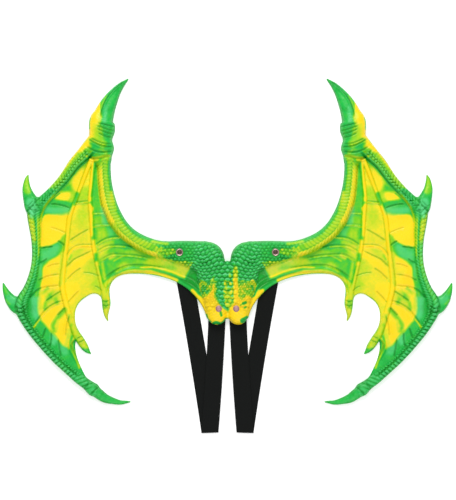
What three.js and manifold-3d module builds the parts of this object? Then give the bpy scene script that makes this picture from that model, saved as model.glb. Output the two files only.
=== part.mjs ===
// Dragon wings for dressing up, lying face up with their straps hanging below them.
// Both wings are one soft foam moulding, thickest at the scaled shoulders in the middle.
// Two elastic straps are folded into arm loops, each held by an upper and a lower rivet.
// Millimetres: +X to the viewer's right, +Y towards the top claws, +Z up out of the face.
// The origin is under the middle of the whole thing, on the surface that it lies on.

import * as THREE from "three";
import { mergeVertices } from "three/addons/utils/BufferGeometryUtils.js";
import Module from "manifold-3d";

// Overall sizes
const HALF_SPAN = 360.5; // middle of the pair to the tip of an elbow claw
const WING_HEIGHT = 523; // lowest claw to the tips of the top claws
const STRAP_DROP = 45; // how far the folded straps hang below the lowest claw

// Widths of the bones and claws, seen from the front
const ARM_WIDTH = 26;
const SHOULDER_WIDTH = 56;
const LOBE_WIDTH = 50;
const MIDDLE_WIDTH = 58;
const TOP_CLAW_WIDTH = 42;
const OUTER_BONE_WIDTH = 16;
const SPUR_WIDTH = 28;
const END_CLAW_WIDTH = 21;
const FINGER_WIDTH = 8;
const FOLD_WIDTH = 7;

// Thicknesses from the flat back to the highest point of the face
const FOAM_SKIN = 4;
const ARM_THICK = 17;
const SHOULDER_THICK = 22;
const TOP_CLAW_THICK = 22;
const OUTER_BONE_THICK = 13;
const SPUR_THICK = 12;
const FINGER_THICK = 9;
const HEM_THICK = 7;
const FOLD_THICK = 5.5;
const BONE_EDGE = 2; // the straight rim under the rounded side of a bone

// Straps and rivets
const STRAP_WIDTH = 27.5;
const STRAP_THICK = 1.5;
const STRAP_END = 12; // strap left beyond a rivet
const OUTER_RUN_BOW = 1.5; // how far a run bends towards the middle from a straight line
const INNER_RUN_BOW = 1.1;
const STRAP_GAP = 4.7; // between the two straps where they reach the lobes
const LOWER_RIVET_OFFSET = 2.2; // how far the lower rivet is off the middle line of its strap
const BACK_CAP_RADIUS = 5.5;
const BACK_CAP_THICK = STRAP_THICK; // so that a strap lies level from its fold to its lower rivet
const SHANK_RADIUS = 2;
const UPPER_HEAD_RADIUS = 6.2;
const UPPER_HEAD_HEIGHT = 2;
const UPPER_EYE_RADIUS = 3.4;
const UPPER_EYE_FLOOR = 0.6;
const LOWER_HEAD_RADIUS = 5;
const LOWER_HEAD_HEIGHT = 2.2;
const RIVET_EDGE = 0.6;
const CLEARANCE = 0.3;

// Rivets: distance from the middle, height over the lowest claw as a share of WING_HEIGHT, and
// how high their seats are in the foam, share of SHOULDER_THICK. The lower ones are as far out
// as the two straps need to lie side by side.
const LOWER_STRAP_MIDDLE = (STRAP_GAP + STRAP_WIDTH) / 2;
const UPPER_RIVET = { distance: 0.2115 * HALF_SPAN, up: 0.4657, seat: 0.8 };
const LOWER_RIVET = { distance: LOWER_STRAP_MIDDLE - LOWER_RIVET_OFFSET, up: 0.2942, seat: 0.78 };
const STRAP_FOLD_OUT = 0.078; // distance of a strap's fold from the middle, share of HALF_SPAN

// The middle of the back is lifted so that strap ends and back caps fit under it. The lift is
// full until just beyond the straps and then falls away.
const LIFT = BACK_CAP_THICK + STRAP_THICK + 2 * CLEARANCE;
const LIFT_MARGIN = 5;
const LIFT_FALL = 55;
const LIFT_FULL_TO = UPPER_RIVET.distance + STRAP_WIDTH / 2 + LIFT_MARGIN;
const LIFT_ENDS_AT = LIFT_FULL_TO + LIFT_FALL;

// Fineness of the curved surfaces: facets round a bone's face, and steps from row to row
const ROUND = { sides: 6, steps: 2 };
const NARROW = { sides: 4, steps: 1 };
const RIDGE = { sides: 2, steps: 4 };
const EDGE_STEPS = 2;
const LIFT_STEPS = 6;
const ROUND_SEGMENTS = 16;
const STRAP_STEPS = 14;
const BEND_STEPS = 6;
const SINK = 2; // how far solids reach below the back before it is cut flat

const MIDDLE_UP = (WING_HEIGHT - STRAP_DROP) / 2;
const FAR = 2 * HALF_SPAN;

// Bones and claws of one wing, each a row of sections from root to tip.
// out: distance from the middle, share of HALF_SPAN. up: height over the lowest claw, share
// of WING_HEIGHT. wide and thick: shares of that bone's own width and thickness.
const COLUMNS = ["out", "up", "wide", "thick"];
const BONES = {
  arm: {
    width: ARM_WIDTH, thick: ARM_THICK, form: ROUND,
    rows: [
      [0.547, 0.757, 0.81, 0.90],
      [0.548, 0.717, 0.76, 0.90],
      [0.544, 0.674, 0.79, 0.90],
      [0.532, 0.628, 0.89, 0.95],
      [0.512, 0.589, 0.91, 1.00],
      [0.473, 0.545, 0.91, 1.00],
      [0.420, 0.512, 0.89, 1.00],
      [0.348, 0.485, 1.01, 1.05],
      [0.273, 0.472, 1.10, 1.10],
      [0.202, 0.463, 1.43, 1.15],
    ],
  },
  shoulder: {
    width: SHOULDER_WIDTH, thick: SHOULDER_THICK, form: ROUND,
    rows: [
      [0.273, 0.473, 0.51, 0.82],
      [0.220, 0.468, 0.64, 0.90],
      [0.166, 0.461, 0.79, 1.00],
      [0.118, 0.453, 0.94, 1.00],
      [0.073, 0.444, 1.00, 1.00],
      [0.040, 0.437, 0.90, 0.95],
      [0.013, 0.430, 0.55, 0.85],
    ],
  },
  lobe: {
    width: LOBE_WIDTH, thick: SHOULDER_THICK, form: ROUND,
    rows: [
      [0.082, 0.448, 0.96, 0.90],
      [0.071, 0.405, 1.00, 1.00],
      [0.062, 0.362, 0.95, 1.00],
      [0.054, 0.326, 0.82, 0.95],
      [0.050, 0.292, 0.74, 0.90],
      [0.047, 0.269, 0.67, 0.80],
      [0.045, 0.254, 0.51, 0.65],
      [0.044, 0.244, 0.23, 0.40],
    ],
  },
  topClaw: {
    width: TOP_CLAW_WIDTH, thick: TOP_CLAW_THICK, form: ROUND,
    rows: [
      [0.555, 0.754, 0.69, 0.75],
      [0.559, 0.778, 0.98, 0.95],
      [0.562, 0.804, 0.93, 0.90],
      [0.558, 0.826, 0.90, 0.88],
      [0.555, 0.844, 0.99, 0.95],
      [0.554, 0.867, 0.94, 0.92],
      [0.545, 0.888, 0.73, 0.80],
      [0.532, 0.912, 0.62, 0.72],
      [0.511, 0.939, 0.47, 0.60],
      [0.492, 0.959, 0.34, 0.50],
      [0.470, 0.978, 0.21, 0.38],
      [0.441, 0.997, 0.05, 0.22],
    ],
  },
  outerBoneUpper: {
    width: OUTER_BONE_WIDTH, thick: OUTER_BONE_THICK, form: NARROW,
    rows: [
      [0.593, 0.803, 1.60, 1.20],
      [0.641, 0.765, 1.32, 1.15],
      [0.680, 0.737, 1.10, 1.10],
      [0.728, 0.691, 0.92, 1.00],
      [0.773, 0.656, 0.88, 1.00],
      [0.812, 0.629, 0.98, 1.00],
      [0.846, 0.604, 1.40, 1.00],
    ],
  },
  outerBoneMiddle: {
    width: OUTER_BONE_WIDTH, thick: OUTER_BONE_THICK, form: NARROW,
    rows: [
      [0.846, 0.613, 1.52, 1.00],
      [0.855, 0.583, 1.44, 1.00],
      [0.852, 0.552, 1.20, 0.95],
      [0.848, 0.509, 0.92, 0.92],
      [0.846, 0.466, 0.84, 0.92],
      [0.852, 0.427, 0.80, 0.92],
      [0.865, 0.388, 0.88, 0.95],
      [0.887, 0.352, 1.00, 1.00],
      [0.907, 0.326, 1.28, 1.10],
      [0.914, 0.301, 1.44, 1.10],
    ],
  },
  outerBoneLower: {
    width: OUTER_BONE_WIDTH, thick: OUTER_BONE_THICK, form: NARROW,
    rows: [
      [0.914, 0.313, 1.40, 1.10],
      [0.914, 0.284, 1.24, 1.05],
      [0.894, 0.255, 1.12, 1.00],
      [0.861, 0.220, 1.04, 1.00],
      [0.814, 0.180, 1.00, 1.00],
      [0.761, 0.140, 0.98, 1.00],
      [0.706, 0.106, 1.00, 1.00],
      [0.659, 0.080, 1.08, 1.00],
      [0.624, 0.062, 1.24, 1.00],
      [0.597, 0.047, 1.28, 0.95],
    ],
  },
  sideClaw: {
    width: SPUR_WIDTH, thick: SPUR_THICK, form: NARROW,
    rows: [
      [0.841, 0.581, 0.74, 0.90],
      [0.864, 0.606, 1.00, 0.90],
      [0.882, 0.633, 0.72, 0.80],
      [0.892, 0.657, 0.51, 0.65],
      [0.894, 0.674, 0.38, 0.50],
      [0.891, 0.691, 0.23, 0.38],
      [0.885, 0.704, 0.07, 0.25],
    ],
  },
  elbowClaw: {
    width: SPUR_WIDTH, thick: SPUR_THICK, form: NARROW,
    rows: [
      [0.899, 0.301, 0.98, 0.90],
      [0.932, 0.307, 0.98, 0.90],
      [0.960, 0.321, 0.71, 0.80],
      [0.978, 0.338, 0.48, 0.60],
      [0.989, 0.355, 0.29, 0.42],
      [0.996, 0.373, 0.08, 0.25],
    ],
  },
  endClaw: {
    width: END_CLAW_WIDTH, thick: SPUR_THICK, form: NARROW,
    rows: [
      [0.606, 0.051, 1.01, 1.00],
      [0.573, 0.034, 0.85, 0.85],
      [0.544, 0.020, 0.70, 0.72],
      [0.510, 0.011, 0.52, 0.58],
      [0.477, 0.006, 0.34, 0.44],
      [0.451, 0.007, 0.21, 0.34],
      [0.431, 0.009, 0.09, 0.25],
    ],
  },
  middleFinger: {
    width: FINGER_WIDTH, thick: FINGER_THICK, form: NARROW,
    rows: [
      [0.601, 0.754, 1.04, 1.00],
      [0.630, 0.705, 0.88, 0.95],
      [0.668, 0.635, 0.80, 0.90],
      [0.697, 0.583, 0.96, 0.90],
      [0.710, 0.515, 0.96, 0.90],
      [0.723, 0.436, 1.00, 0.90],
      [0.733, 0.369, 1.12, 0.95],
      [0.717, 0.313, 1.12, 0.95],
      [0.695, 0.258, 1.12, 0.95],
      [0.674, 0.222, 1.40, 1.00],
      [0.653, 0.197, 1.64, 0.95],
      [0.635, 0.178, 1.52, 0.85],
      [0.621, 0.165, 0.96, 0.60],
      [0.607, 0.157, 0.28, 0.33],
    ],
  },
  innerFinger: {
    width: FINGER_WIDTH, thick: FINGER_THICK, form: NARROW,
    rows: [
      [0.588, 0.754, 0.96, 1.00],
      [0.601, 0.693, 0.80, 0.95],
      [0.609, 0.631, 0.88, 0.95],
      [0.602, 0.558, 0.96, 0.95],
      [0.595, 0.491, 0.84, 0.90],
      [0.577, 0.424, 0.76, 0.85],
      [0.557, 0.369, 0.92, 0.90],
      [0.542, 0.335, 1.60, 1.00],
      [0.538, 0.310, 1.72, 1.00],
      [0.539, 0.289, 1.28, 0.85],
      [0.538, 0.272, 0.72, 0.60],
      [0.530, 0.257, 0.24, 0.33],
    ],
  },
  rootHem: {
    width: FINGER_WIDTH, thick: HEM_THICK, form: NARROW,
    rows: [
      [0.535, 0.352, 0.30, 0.80],
      [0.515, 0.390, 0.80, 1.00],
      [0.477, 0.407, 0.90, 1.00],
      [0.389, 0.415, 1.00, 1.00],
      [0.277, 0.408, 1.10, 1.00],
      [0.166, 0.380, 1.20, 1.00],
      [0.095, 0.340, 1.20, 1.00],
    ],
  },
};

// The scaled middle that joins the two wings, over the line between them.
const MIDDLE = {
  width: MIDDLE_WIDTH, thick: SHOULDER_THICK, form: ROUND,
  rows: [
    [0, 0.433, 0.14, 0.55],
    [0, 0.415, 0.68, 0.85],
    [0, 0.380, 1.00, 0.96],
    [0, 0.335, 0.90, 0.92],
    [0, 0.300, 0.68, 0.80],
    [0, 0.272, 0.30, 0.50],
  ],
};

// The skin's border, out and up as above: first where the bones hide it, then its free edges.
const SKIN_UNDER_ARM = [
  [0.548, 0.754], [0.548, 0.693], [0.535, 0.635], [0.504, 0.576], [0.442, 0.521], [0.348, 0.485],
  [0.255, 0.469], [0.131, 0.451], [0.064, 0.411], [0.060, 0.320], [0.069, 0.265],
];
const ROOT_EDGE = [
  [0.091, 0.265], [0.109, 0.297], [0.140, 0.329], [0.184, 0.358], [0.237, 0.379], [0.300, 0.393],
  [0.366, 0.400], [0.428, 0.401], [0.473, 0.396], [0.504, 0.383], [0.522, 0.361], [0.525, 0.330],
  [0.544, 0.310],
];
const MIDDLE_EDGE = [
  [0.548, 0.310], [0.561, 0.329], [0.579, 0.339], [0.604, 0.339], [0.630, 0.329], [0.655, 0.315],
  [0.672, 0.295], [0.677, 0.269], [0.672, 0.240], [0.664, 0.213],
];
const OUTER_EDGE = [
  [0.655, 0.194], [0.670, 0.199], [0.677, 0.191], [0.678, 0.170], [0.669, 0.142], [0.652, 0.113],
  [0.628, 0.081],
];
const SKIN_UNDER_OUTER_BONE = [
  [0.632, 0.075], [0.735, 0.124], [0.832, 0.194], [0.903, 0.268], [0.912, 0.307], [0.877, 0.369],
  [0.850, 0.436], [0.850, 0.518], [0.854, 0.589], [0.810, 0.631], [0.730, 0.690], [0.655, 0.754],
  [0.588, 0.784],
];

// Raised folds of the skin, each a low ridge through three places: out and up of its start, of
// its middle and of its end. Its ends are these shares of its width and thickness.
const FOLD_END = { wide: 0.15, thick: 0.6 };
const FOLDS = [
  [0.593, 0.546, 0.557, 0.549, 0.517, 0.549],
  [0.584, 0.482, 0.539, 0.503, 0.473, 0.512],
  [0.566, 0.436, 0.513, 0.454, 0.344, 0.445],
  [0.699, 0.500, 0.655, 0.518, 0.606, 0.534],
  [0.712, 0.451, 0.677, 0.479, 0.593, 0.485],
  [0.646, 0.402, 0.606, 0.399, 0.561, 0.390],
  [0.828, 0.476, 0.801, 0.482, 0.770, 0.482],
  [0.806, 0.417, 0.775, 0.427, 0.735, 0.430],
  [0.877, 0.326, 0.823, 0.356, 0.739, 0.359],
  [0.854, 0.240, 0.806, 0.289, 0.717, 0.317],
  [0.690, 0.200, 0.699, 0.179, 0.677, 0.140],
];

// Where the outer run of a strap drops to the floor, as shares of its length
const OUTER_RUN_RAMP = [0.2, 0.45];

const MATERIALS = {
  foam: new THREE.MeshStandardMaterial({ color: 0x6ec83c, roughness: 0.45, metalness: 0 }),
  elastic: new THREE.MeshStandardMaterial({ color: 0x161817, roughness: 0.85, metalness: 0 }),
  eyelet: new THREE.MeshStandardMaterial({ color: 0xb9a58f, roughness: 0.35, metalness: 0.9 }),
  cap: new THREE.MeshStandardMaterial({ color: 0xa9a09c, roughness: 0.3, metalness: 0.9 }),
};

const wasm = await Module();
wasm.setup();

/** A closed geometry as a solid that can be joined and cut. */
function toSolid(geometry) {
  const bare = geometry.clone();
  bare.deleteAttribute("normal");
  bare.deleteAttribute("uv");
  const merged = mergeVertices(bare);
  return new wasm.Manifold(new wasm.Mesh({
    numProp: 3,
    vertProperties: new Float32Array(merged.attributes.position.array),
    triVerts: new Uint32Array(merged.index.array),
  }));
}

/** A solid as a geometry again. */
function toGeometry(solid) {
  const mesh = solid.getMesh();
  const places = new Float32Array(mesh.vertProperties);
  const geometry = new THREE.BufferGeometry();
  geometry.setAttribute("position", new THREE.BufferAttribute(places, 3));
  geometry.setIndex(new THREE.BufferAttribute(new Uint32Array(mesh.triVerts), 1));
  geometry.computeVertexNormals();
  return geometry;
}

/** Turns every triangle round where a closed geometry has its faces inwards. */
function facingOut(geometry) {
  const place = geometry.attributes.position;
  const index = geometry.index.array;
  const [a, b, c] = [new THREE.Vector3(), new THREE.Vector3(), new THREE.Vector3()];
  let volume = 0;
  for (let i = 0; i < index.length; i += 3) {
    a.fromBufferAttribute(place, index[i]);
    b.fromBufferAttribute(place, index[i + 1]);
    c.fromBufferAttribute(place, index[i + 2]);
    volume += a.dot(b.cross(c));
  }
  if (volume < 0) {
    for (let i = 0; i < index.length; i += 3) {
      [index[i], index[i + 1]] = [index[i + 1], index[i]];
    }
  }
  return geometry;
}

/** Closed geometry through a row of rings of equally many points, with both ends capped. */
function ringsGeometry(rings) {
  const count = rings[0].length;
  const positions = rings.flat().flatMap((point) => [point.x, point.y, point.z]);
  const index = [];
  for (let ring = 0; ring + 1 < rings.length; ring += 1) {
    for (let k = 0; k < count; k += 1) {
      const next = (k + 1) % count;
      const [a, b] = [ring * count + k, ring * count + next];
      index.push(a, b, b + count, a, b + count, a + count);
    }
  }
  const last = (rings.length - 1) * count;
  for (let k = 1; k + 1 < count; k += 1) {
    index.push(0, k + 1, k);
    index.push(last, last + k, last + k + 1);
  }
  const geometry = new THREE.BufferGeometry();
  geometry.setAttribute("position", new THREE.Float32BufferAttribute(positions, 3));
  geometry.setIndex(index);
  return facingOut(geometry);
}

/** How far the back is off the surface at a distance from the middle: level, then eased to 0. */
function lift(distance) {
  return LIFT * (1 - THREE.MathUtils.smoothstep(distance, LIFT_FULL_TO, LIFT_ENDS_AT));
}

/** A place on the wing of one side, from its shares. */
function onWing(out, up, side) {
  return new THREE.Vector2(side * out * HALF_SPAN, up * WING_HEIGHT - MIDDLE_UP);
}

/** Smooth curve through the places in a list of out and up pairs. */
function smoothEdge(pairs, side) {
  const places = pairs.map(([out, up]) => onWing(out, up, side));
  return new THREE.SplineCurve(places).getPoints(EDGE_STEPS * (pairs.length - 1));
}

/** Bone or claw: D-shaped sections, flat behind and half an ellipse in front, along its rows. */
function boneSolid({ width, thick, form, rows }, side) {
  const sections = rows.map((row) => Object.fromEntries(COLUMNS.map((name, k) => [name, row[k]])));
  const route = new THREE.SplineCurve(sections.map((row) => onWing(row.out, row.up, side)));
  const sizes = new THREE.SplineCurve(
    sections.map((row) => new THREE.Vector2((row.wide * width) / 2, row.thick * thick)),
  );
  const steps = form.steps * (rows.length - 1);
  const rings = [];
  for (let step = 0; step <= steps; step += 1) {
    const centre = route.getPoint(step / steps);
    const across = route.getTangent(step / steps).rotateAround(new THREE.Vector2(), Math.PI / 2);
    const { x: halfWidth, y: height } = sizes.getPoint(step / steps);
    const ring = [-1, 1].map((end) => {
      const foot = centre.clone().addScaledVector(across, end * halfWidth);
      return new THREE.Vector3(foot.x, foot.y, -SINK);
    });
    for (let k = 0; k <= form.sides; k += 1) {
      const angle = (Math.PI * k) / form.sides;
      const spot = centre.clone().addScaledVector(across, halfWidth * Math.cos(angle));
      const rise = BONE_EDGE + (height - BONE_EDGE) * Math.sin(angle);
      ring.push(new THREE.Vector3(spot.x, spot.y, lift(Math.abs(spot.x)) + rise));
    }
    rings.push(ring);
  }
  return toSolid(ringsGeometry(rings));
}

/** Low ridge of the skin, widest in the middle and running out to nothing at both ends. */
function foldSolid([startOut, startUp, midOut, midUp, endOut, endUp], side) {
  const rows = [
    [startOut, startUp, FOLD_END.wide, FOLD_END.thick],
    [midOut, midUp, 1, 1],
    [endOut, endUp, FOLD_END.wide, FOLD_END.thick],
  ];
  return boneSolid({ width: FOLD_WIDTH, thick: FOLD_THICK, form: RIDGE, rows }, side);
}

/** A profile of x and z carried along Y right across the wings. */
function acrossWings(profile) {
  const shape = new THREE.Shape(profile);
  const geometry = new THREE.ExtrudeGeometry(shape, { depth: 2 * FAR, bevelEnabled: false });
  return toSolid(geometry.translate(0, 0, -FAR).rotateX(Math.PI / 2));
}

/** The lifted back's line, raised by some height, from one end of the span to the other. */
function liftLine(height) {
  const half = [new THREE.Vector2(LIFT_FULL_TO, LIFT + height)];
  for (let step = 1; step <= LIFT_STEPS; step += 1) {
    const distance = THREE.MathUtils.lerp(LIFT_FULL_TO, LIFT_ENDS_AT, step / LIFT_STEPS);
    half.push(new THREE.Vector2(distance, lift(distance) + height));
  }
  half.push(new THREE.Vector2(FAR, height));
  const left = half.map((point) => new THREE.Vector2(-point.x, point.y)).reverse();
  return [...left, ...half];
}

/** Everything between the floor and the lifted back's line raised by some height. */
function belowLine(height) {
  const depth = -2 * SINK;
  return acrossWings([new THREE.Vector2(-FAR, depth), new THREE.Vector2(FAR, depth),
    ...liftLine(height).reverse()]);
}

/** The thin skin of one wing between its bones and its free edges. */
function skinSolid(side) {
  const border = [
    ...SKIN_UNDER_ARM.map(([out, up]) => onWing(out, up, side)),
    ...smoothEdge(ROOT_EDGE, side),
    ...smoothEdge(MIDDLE_EDGE, side),
    ...smoothEdge(OUTER_EDGE, side),
    ...SKIN_UNDER_OUTER_BONE.map(([out, up]) => onWing(out, up, side)),
  ];
  const depth = SINK + LIFT + 2 * FOAM_SKIN;
  const block = new THREE.ExtrudeGeometry(new THREE.Shape(border), { depth, bevelEnabled: false });
  return toSolid(block.translate(0, 0, -SINK)).intersect(belowLine(FOAM_SKIN));
}

/** Upright round bar at a place, between two heights. */
function barSolid(place, radius, low, high) {
  const bar = new THREE.CylinderGeometry(radius, radius, high - low, ROUND_SEGMENTS);
  bar.rotateX(Math.PI / 2).translate(place.x, place.y, (low + high) / 2);
  return toSolid(bar);
}

/** Where a rivet of one side is. */
function rivetPlace(rivet, side) {
  return onWing(rivet.distance / HALF_SPAN, rivet.up, side);
}

/** Height of the seat in the foam that a rivet's head is pressed to. */
function seatHeight(rivet) {
  return LIFT + rivet.seat * SHOULDER_THICK;
}

/** Both wings as one moulding with a flat back, seats for the heads and holes for the shanks. */
function wingMoulding() {
  const pieces = [boneSolid(MIDDLE, 1)];
  for (const side of [-1, 1]) {
    pieces.push(skinSolid(side));
    pieces.push(...Object.values(BONES).map((bone) => boneSolid(bone, side)));
    pieces.push(...FOLDS.map((fold) => foldSolid(fold, side)));
  }
  let moulding = pieces.reduce((whole, piece) => whole.add(piece)).subtract(belowLine(0));
  const heads = [[UPPER_RIVET, UPPER_HEAD_RADIUS], [LOWER_RIVET, LOWER_HEAD_RADIUS]];
  for (const side of [-1, 1]) {
    for (const [rivet, radius] of heads) {
      const place = rivetPlace(rivet, side);
      const seat = seatHeight(rivet);
      const top = LIFT + 2 * SHOULDER_THICK;
      moulding = moulding
        .subtract(barSolid(place, radius + CLEARANCE, seat, top))
        .subtract(barSolid(place, SHANK_RADIUS + CLEARANCE, -SINK, top));
    }
  }
  return toGeometry(moulding);
}

/** Rivet turned round its axis: a shank from just over the back cap, and a head on its seat. */
function rivetGeometry(rivet, headProfile) {
  const low = BACK_CAP_THICK + CLEARANCE;
  const under = seatHeight(rivet) + CLEARANCE;
  const profile = [[0, low], [SHANK_RADIUS, low], [SHANK_RADIUS, under],
    ...headProfile.map(([radius, height]) => [radius, under + height])];
  const points = profile.map(([radius, height]) => new THREE.Vector2(radius, height));
  return new THREE.LatheGeometry(points, ROUND_SEGMENTS).rotateX(Math.PI / 2);
}

/** Upper head: a rounded ring about a sunken eye. */
function upperHead() {
  const crown = (UPPER_HEAD_RADIUS + UPPER_EYE_RADIUS) / 2;
  const shoulder = (UPPER_HEAD_RADIUS - UPPER_EYE_RADIUS) / 4;
  return [
    [UPPER_HEAD_RADIUS, 0],
    [UPPER_HEAD_RADIUS, RIVET_EDGE],
    [crown + shoulder, UPPER_HEAD_HEIGHT],
    [crown - shoulder, UPPER_HEAD_HEIGHT],
    [UPPER_EYE_RADIUS, UPPER_EYE_FLOOR],
    [0, UPPER_EYE_FLOOR],
  ];
}

/** Lower head: a plain dome with a short straight edge. */
function lowerHead() {
  const profile = [[LOWER_HEAD_RADIUS, 0]];
  for (let step = 0; step <= BEND_STEPS; step += 1) {
    const angle = (Math.PI / 2) * (step / BEND_STEPS);
    const radius = step < BEND_STEPS ? LOWER_HEAD_RADIUS * Math.cos(angle) : 0;
    profile.push([radius, RIVET_EDGE + (LOWER_HEAD_HEIGHT - RIVET_EDGE) * Math.sin(angle)]);
  }
  return profile;
}

/** Curve in plan from one place to another, bowed sideways by some length at its middle. */
function bowedRun(from, to, bow) {
  const control = from.clone().lerp(to, 0.5).add(new THREE.Vector2(2 * bow, 0));
  return new THREE.QuadraticBezierCurve(from, control, to);
}

/** Route of one strap's middle line: down from the upper rivet, round the fold and back up. */
function strapRoute(side) {
  const bend = (STRAP_THICK + CLEARANCE) / 2;
  const upper = rivetPlace(UPPER_RIVET, side);
  const lower = rivetPlace(LOWER_RIVET, side);
  lower.x = side * LOWER_STRAP_MIDDLE;
  const turn = onWing(STRAP_FOLD_OUT, 0, side);
  turn.y += bend + STRAP_THICK / 2 - STRAP_DROP;
  const outer = bowedRun(upper, turn, -side * OUTER_RUN_BOW);
  const inner = bowedRun(turn, lower, -side * INNER_RUN_BOW);
  const under = BACK_CAP_THICK + CLEARANCE + STRAP_THICK / 2;
  const floor = STRAP_THICK / 2;
  const points = [];
  const add = (place, height) => points.push(new THREE.Vector3(place.x, place.y, height));
  const firstEnd = upper.clone().addScaledVector(outer.getTangent(0), -STRAP_END);
  add(firstEnd, under);
  for (let step = 0; step <= STRAP_STEPS; step += 1) {
    const share = step / STRAP_STEPS;
    const drop = THREE.MathUtils.smoothstep(share, ...OUTER_RUN_RAMP);
    add(outer.getPoint(share), THREE.MathUtils.lerp(under, floor, drop));
  }
  for (let step = 1; step < BEND_STEPS; step += 1) {
    const angle = (Math.PI * step) / BEND_STEPS;
    const place = turn.clone().sub(new THREE.Vector2(0, bend * Math.sin(angle)));
    add(place, floor + bend * (1 - Math.cos(angle)));
  }
  for (let step = 0; step <= STRAP_STEPS; step += 1) {
    add(inner.getPoint(step / STRAP_STEPS), under);
  }
  add(lower.clone().addScaledVector(inner.getTangent(1), STRAP_END), under);
  return { points, foldLine: outer.getTangent(1).add(inner.getTangent(0)).normalize() };
}

/** Flat band along the route, its sections parallel to the line that it is folded on. */
function strapGeometry(side) {
  const { points, foldLine } = strapRoute(side);
  const across = new THREE.Vector3(foldLine.x, foldLine.y, 0);
  const rings = points.map((point, k) => {
    const ahead = points[Math.min(k + 1, points.length - 1)];
    const behind = points[Math.max(k - 1, 0)];
    const out = new THREE.Vector3().subVectors(ahead, behind).cross(across).normalize();
    const corners = [[-1, -1], [1, -1], [1, 1], [-1, 1]];
    return corners.map(([sideways, outwards]) => point.clone()
      .addScaledVector(across, (sideways * STRAP_WIDTH) / 2)
      .addScaledVector(out, (outwards * STRAP_THICK) / 2));
  });
  let band = toSolid(ringsGeometry(rings));
  for (const rivet of [UPPER_RIVET, LOWER_RIVET]) {
    const place = rivetPlace(rivet, side);
    band = band.subtract(barSolid(place, SHANK_RADIUS + CLEARANCE, 0, LIFT));
  }
  return toGeometry(band);
}

/** Mesh for one named piece of the wings. */
function piece(name, geometry, material) {
  const mesh = new THREE.Mesh(geometry, material);
  mesh.name = name;
  return mesh;
}

/** Flat round cap behind a rivet, standing on the floor. */
function backCapGeometry() {
  const [radius, thick] = [BACK_CAP_RADIUS, BACK_CAP_THICK];
  const disc = new THREE.CylinderGeometry(radius, radius, thick, ROUND_SEGMENTS);
  return disc.rotateX(Math.PI / 2).translate(0, 0, thick / 2);
}

const dragonWings = new THREE.Group();
dragonWings.name = "dragon_wings";
dragonWings.add(piece("wing_moulding", wingMoulding(), MATERIALS.foam));

const RIVETS = [
  { label: "upper", seat: UPPER_RIVET, head: upperHead(), material: MATERIALS.eyelet },
  { label: "lower", seat: LOWER_RIVET, head: lowerHead(), material: MATERIALS.cap },
];
for (const [hand, side] of [["left", -1], ["right", 1]]) {
  dragonWings.add(piece(`${hand}_strap`, strapGeometry(side), MATERIALS.elastic));
  for (const { label, seat, head, material } of RIVETS) {
    const rivet = piece(`${hand}_${label}_rivet`, rivetGeometry(seat, head), material);
    const cap = piece(`${hand}_${label}_back_cap`, backCapGeometry(), MATERIALS.cap);
    for (const mesh of [rivet, cap]) {
      const { x, y } = rivetPlace(seat, side);
      mesh.position.set(x, y, 0);
      dragonWings.add(mesh);
    }
  }
}

export default dragonWings;
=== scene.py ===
"""Foam dragon wings for dressing up, lying face up on a pale floor.

Lengths here are millimetres, and new_piece turns them into metres. Those of the lamps, the camera
and the sidebar are metres. One wing is worked out at x >= 0 and mirrored. A place on it is either
a pair of shares, out (of the half span, from the middle) and up (of the wings' height, from the
lowest claw), or a mark read from the left wing of the photograph, in its pixels, which
from_photo turns into millimetres.
"""

import math

import bpy
import numpy as np
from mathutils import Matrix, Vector
from mathutils.geometry import delaunay_2d_cdt


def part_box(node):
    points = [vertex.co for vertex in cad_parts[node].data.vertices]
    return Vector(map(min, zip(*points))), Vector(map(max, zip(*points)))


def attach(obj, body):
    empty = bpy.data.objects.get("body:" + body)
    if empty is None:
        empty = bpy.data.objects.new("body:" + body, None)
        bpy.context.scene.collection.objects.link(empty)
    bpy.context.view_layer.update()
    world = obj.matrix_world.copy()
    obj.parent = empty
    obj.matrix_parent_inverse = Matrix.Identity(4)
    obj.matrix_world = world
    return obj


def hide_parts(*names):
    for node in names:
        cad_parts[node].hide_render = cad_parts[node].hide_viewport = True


bl_info = {
    "name": "Foam dragon wings",
    "version": (1, 0, 0),
    "blender": (4, 5, 0),
    "location": "3D View > Sidebar > Dragon wings",
    "description": "Builds painted foam dragon wings with elastic arm loops and rivets",
    "category": "Add Mesh",
}

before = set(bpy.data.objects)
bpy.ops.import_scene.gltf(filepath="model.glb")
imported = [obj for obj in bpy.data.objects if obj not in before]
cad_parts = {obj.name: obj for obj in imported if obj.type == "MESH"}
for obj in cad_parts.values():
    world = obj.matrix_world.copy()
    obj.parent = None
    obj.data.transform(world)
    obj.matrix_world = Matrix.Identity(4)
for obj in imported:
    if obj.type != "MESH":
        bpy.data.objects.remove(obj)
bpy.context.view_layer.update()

MM = 0.001  # one millimetre in metres
SIDES = (("left", -1), ("right", 1))


def node_box(node):
    """Lowest and highest corner of a CAD node, in millimetres."""
    return [np.array(corner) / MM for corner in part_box(node)]


# Driving sizes, from the frame
WING_LOW, WING_HIGH = node_box("wing_moulding")
HALF_SPAN = WING_HIGH[0]
WING_HEIGHT = WING_HIGH[1] - WING_LOW[1]
FOOT = WING_LOW[1]

# The photograph's frame: where the wings' middle, foot, side and top are in it, in pixels
PHOTO_MIDDLE = 227.5
PHOTO_FOOT = 404.5
PHOTO_HALF_SPAN = 225.3
PHOTO_HEIGHT = 327

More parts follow.
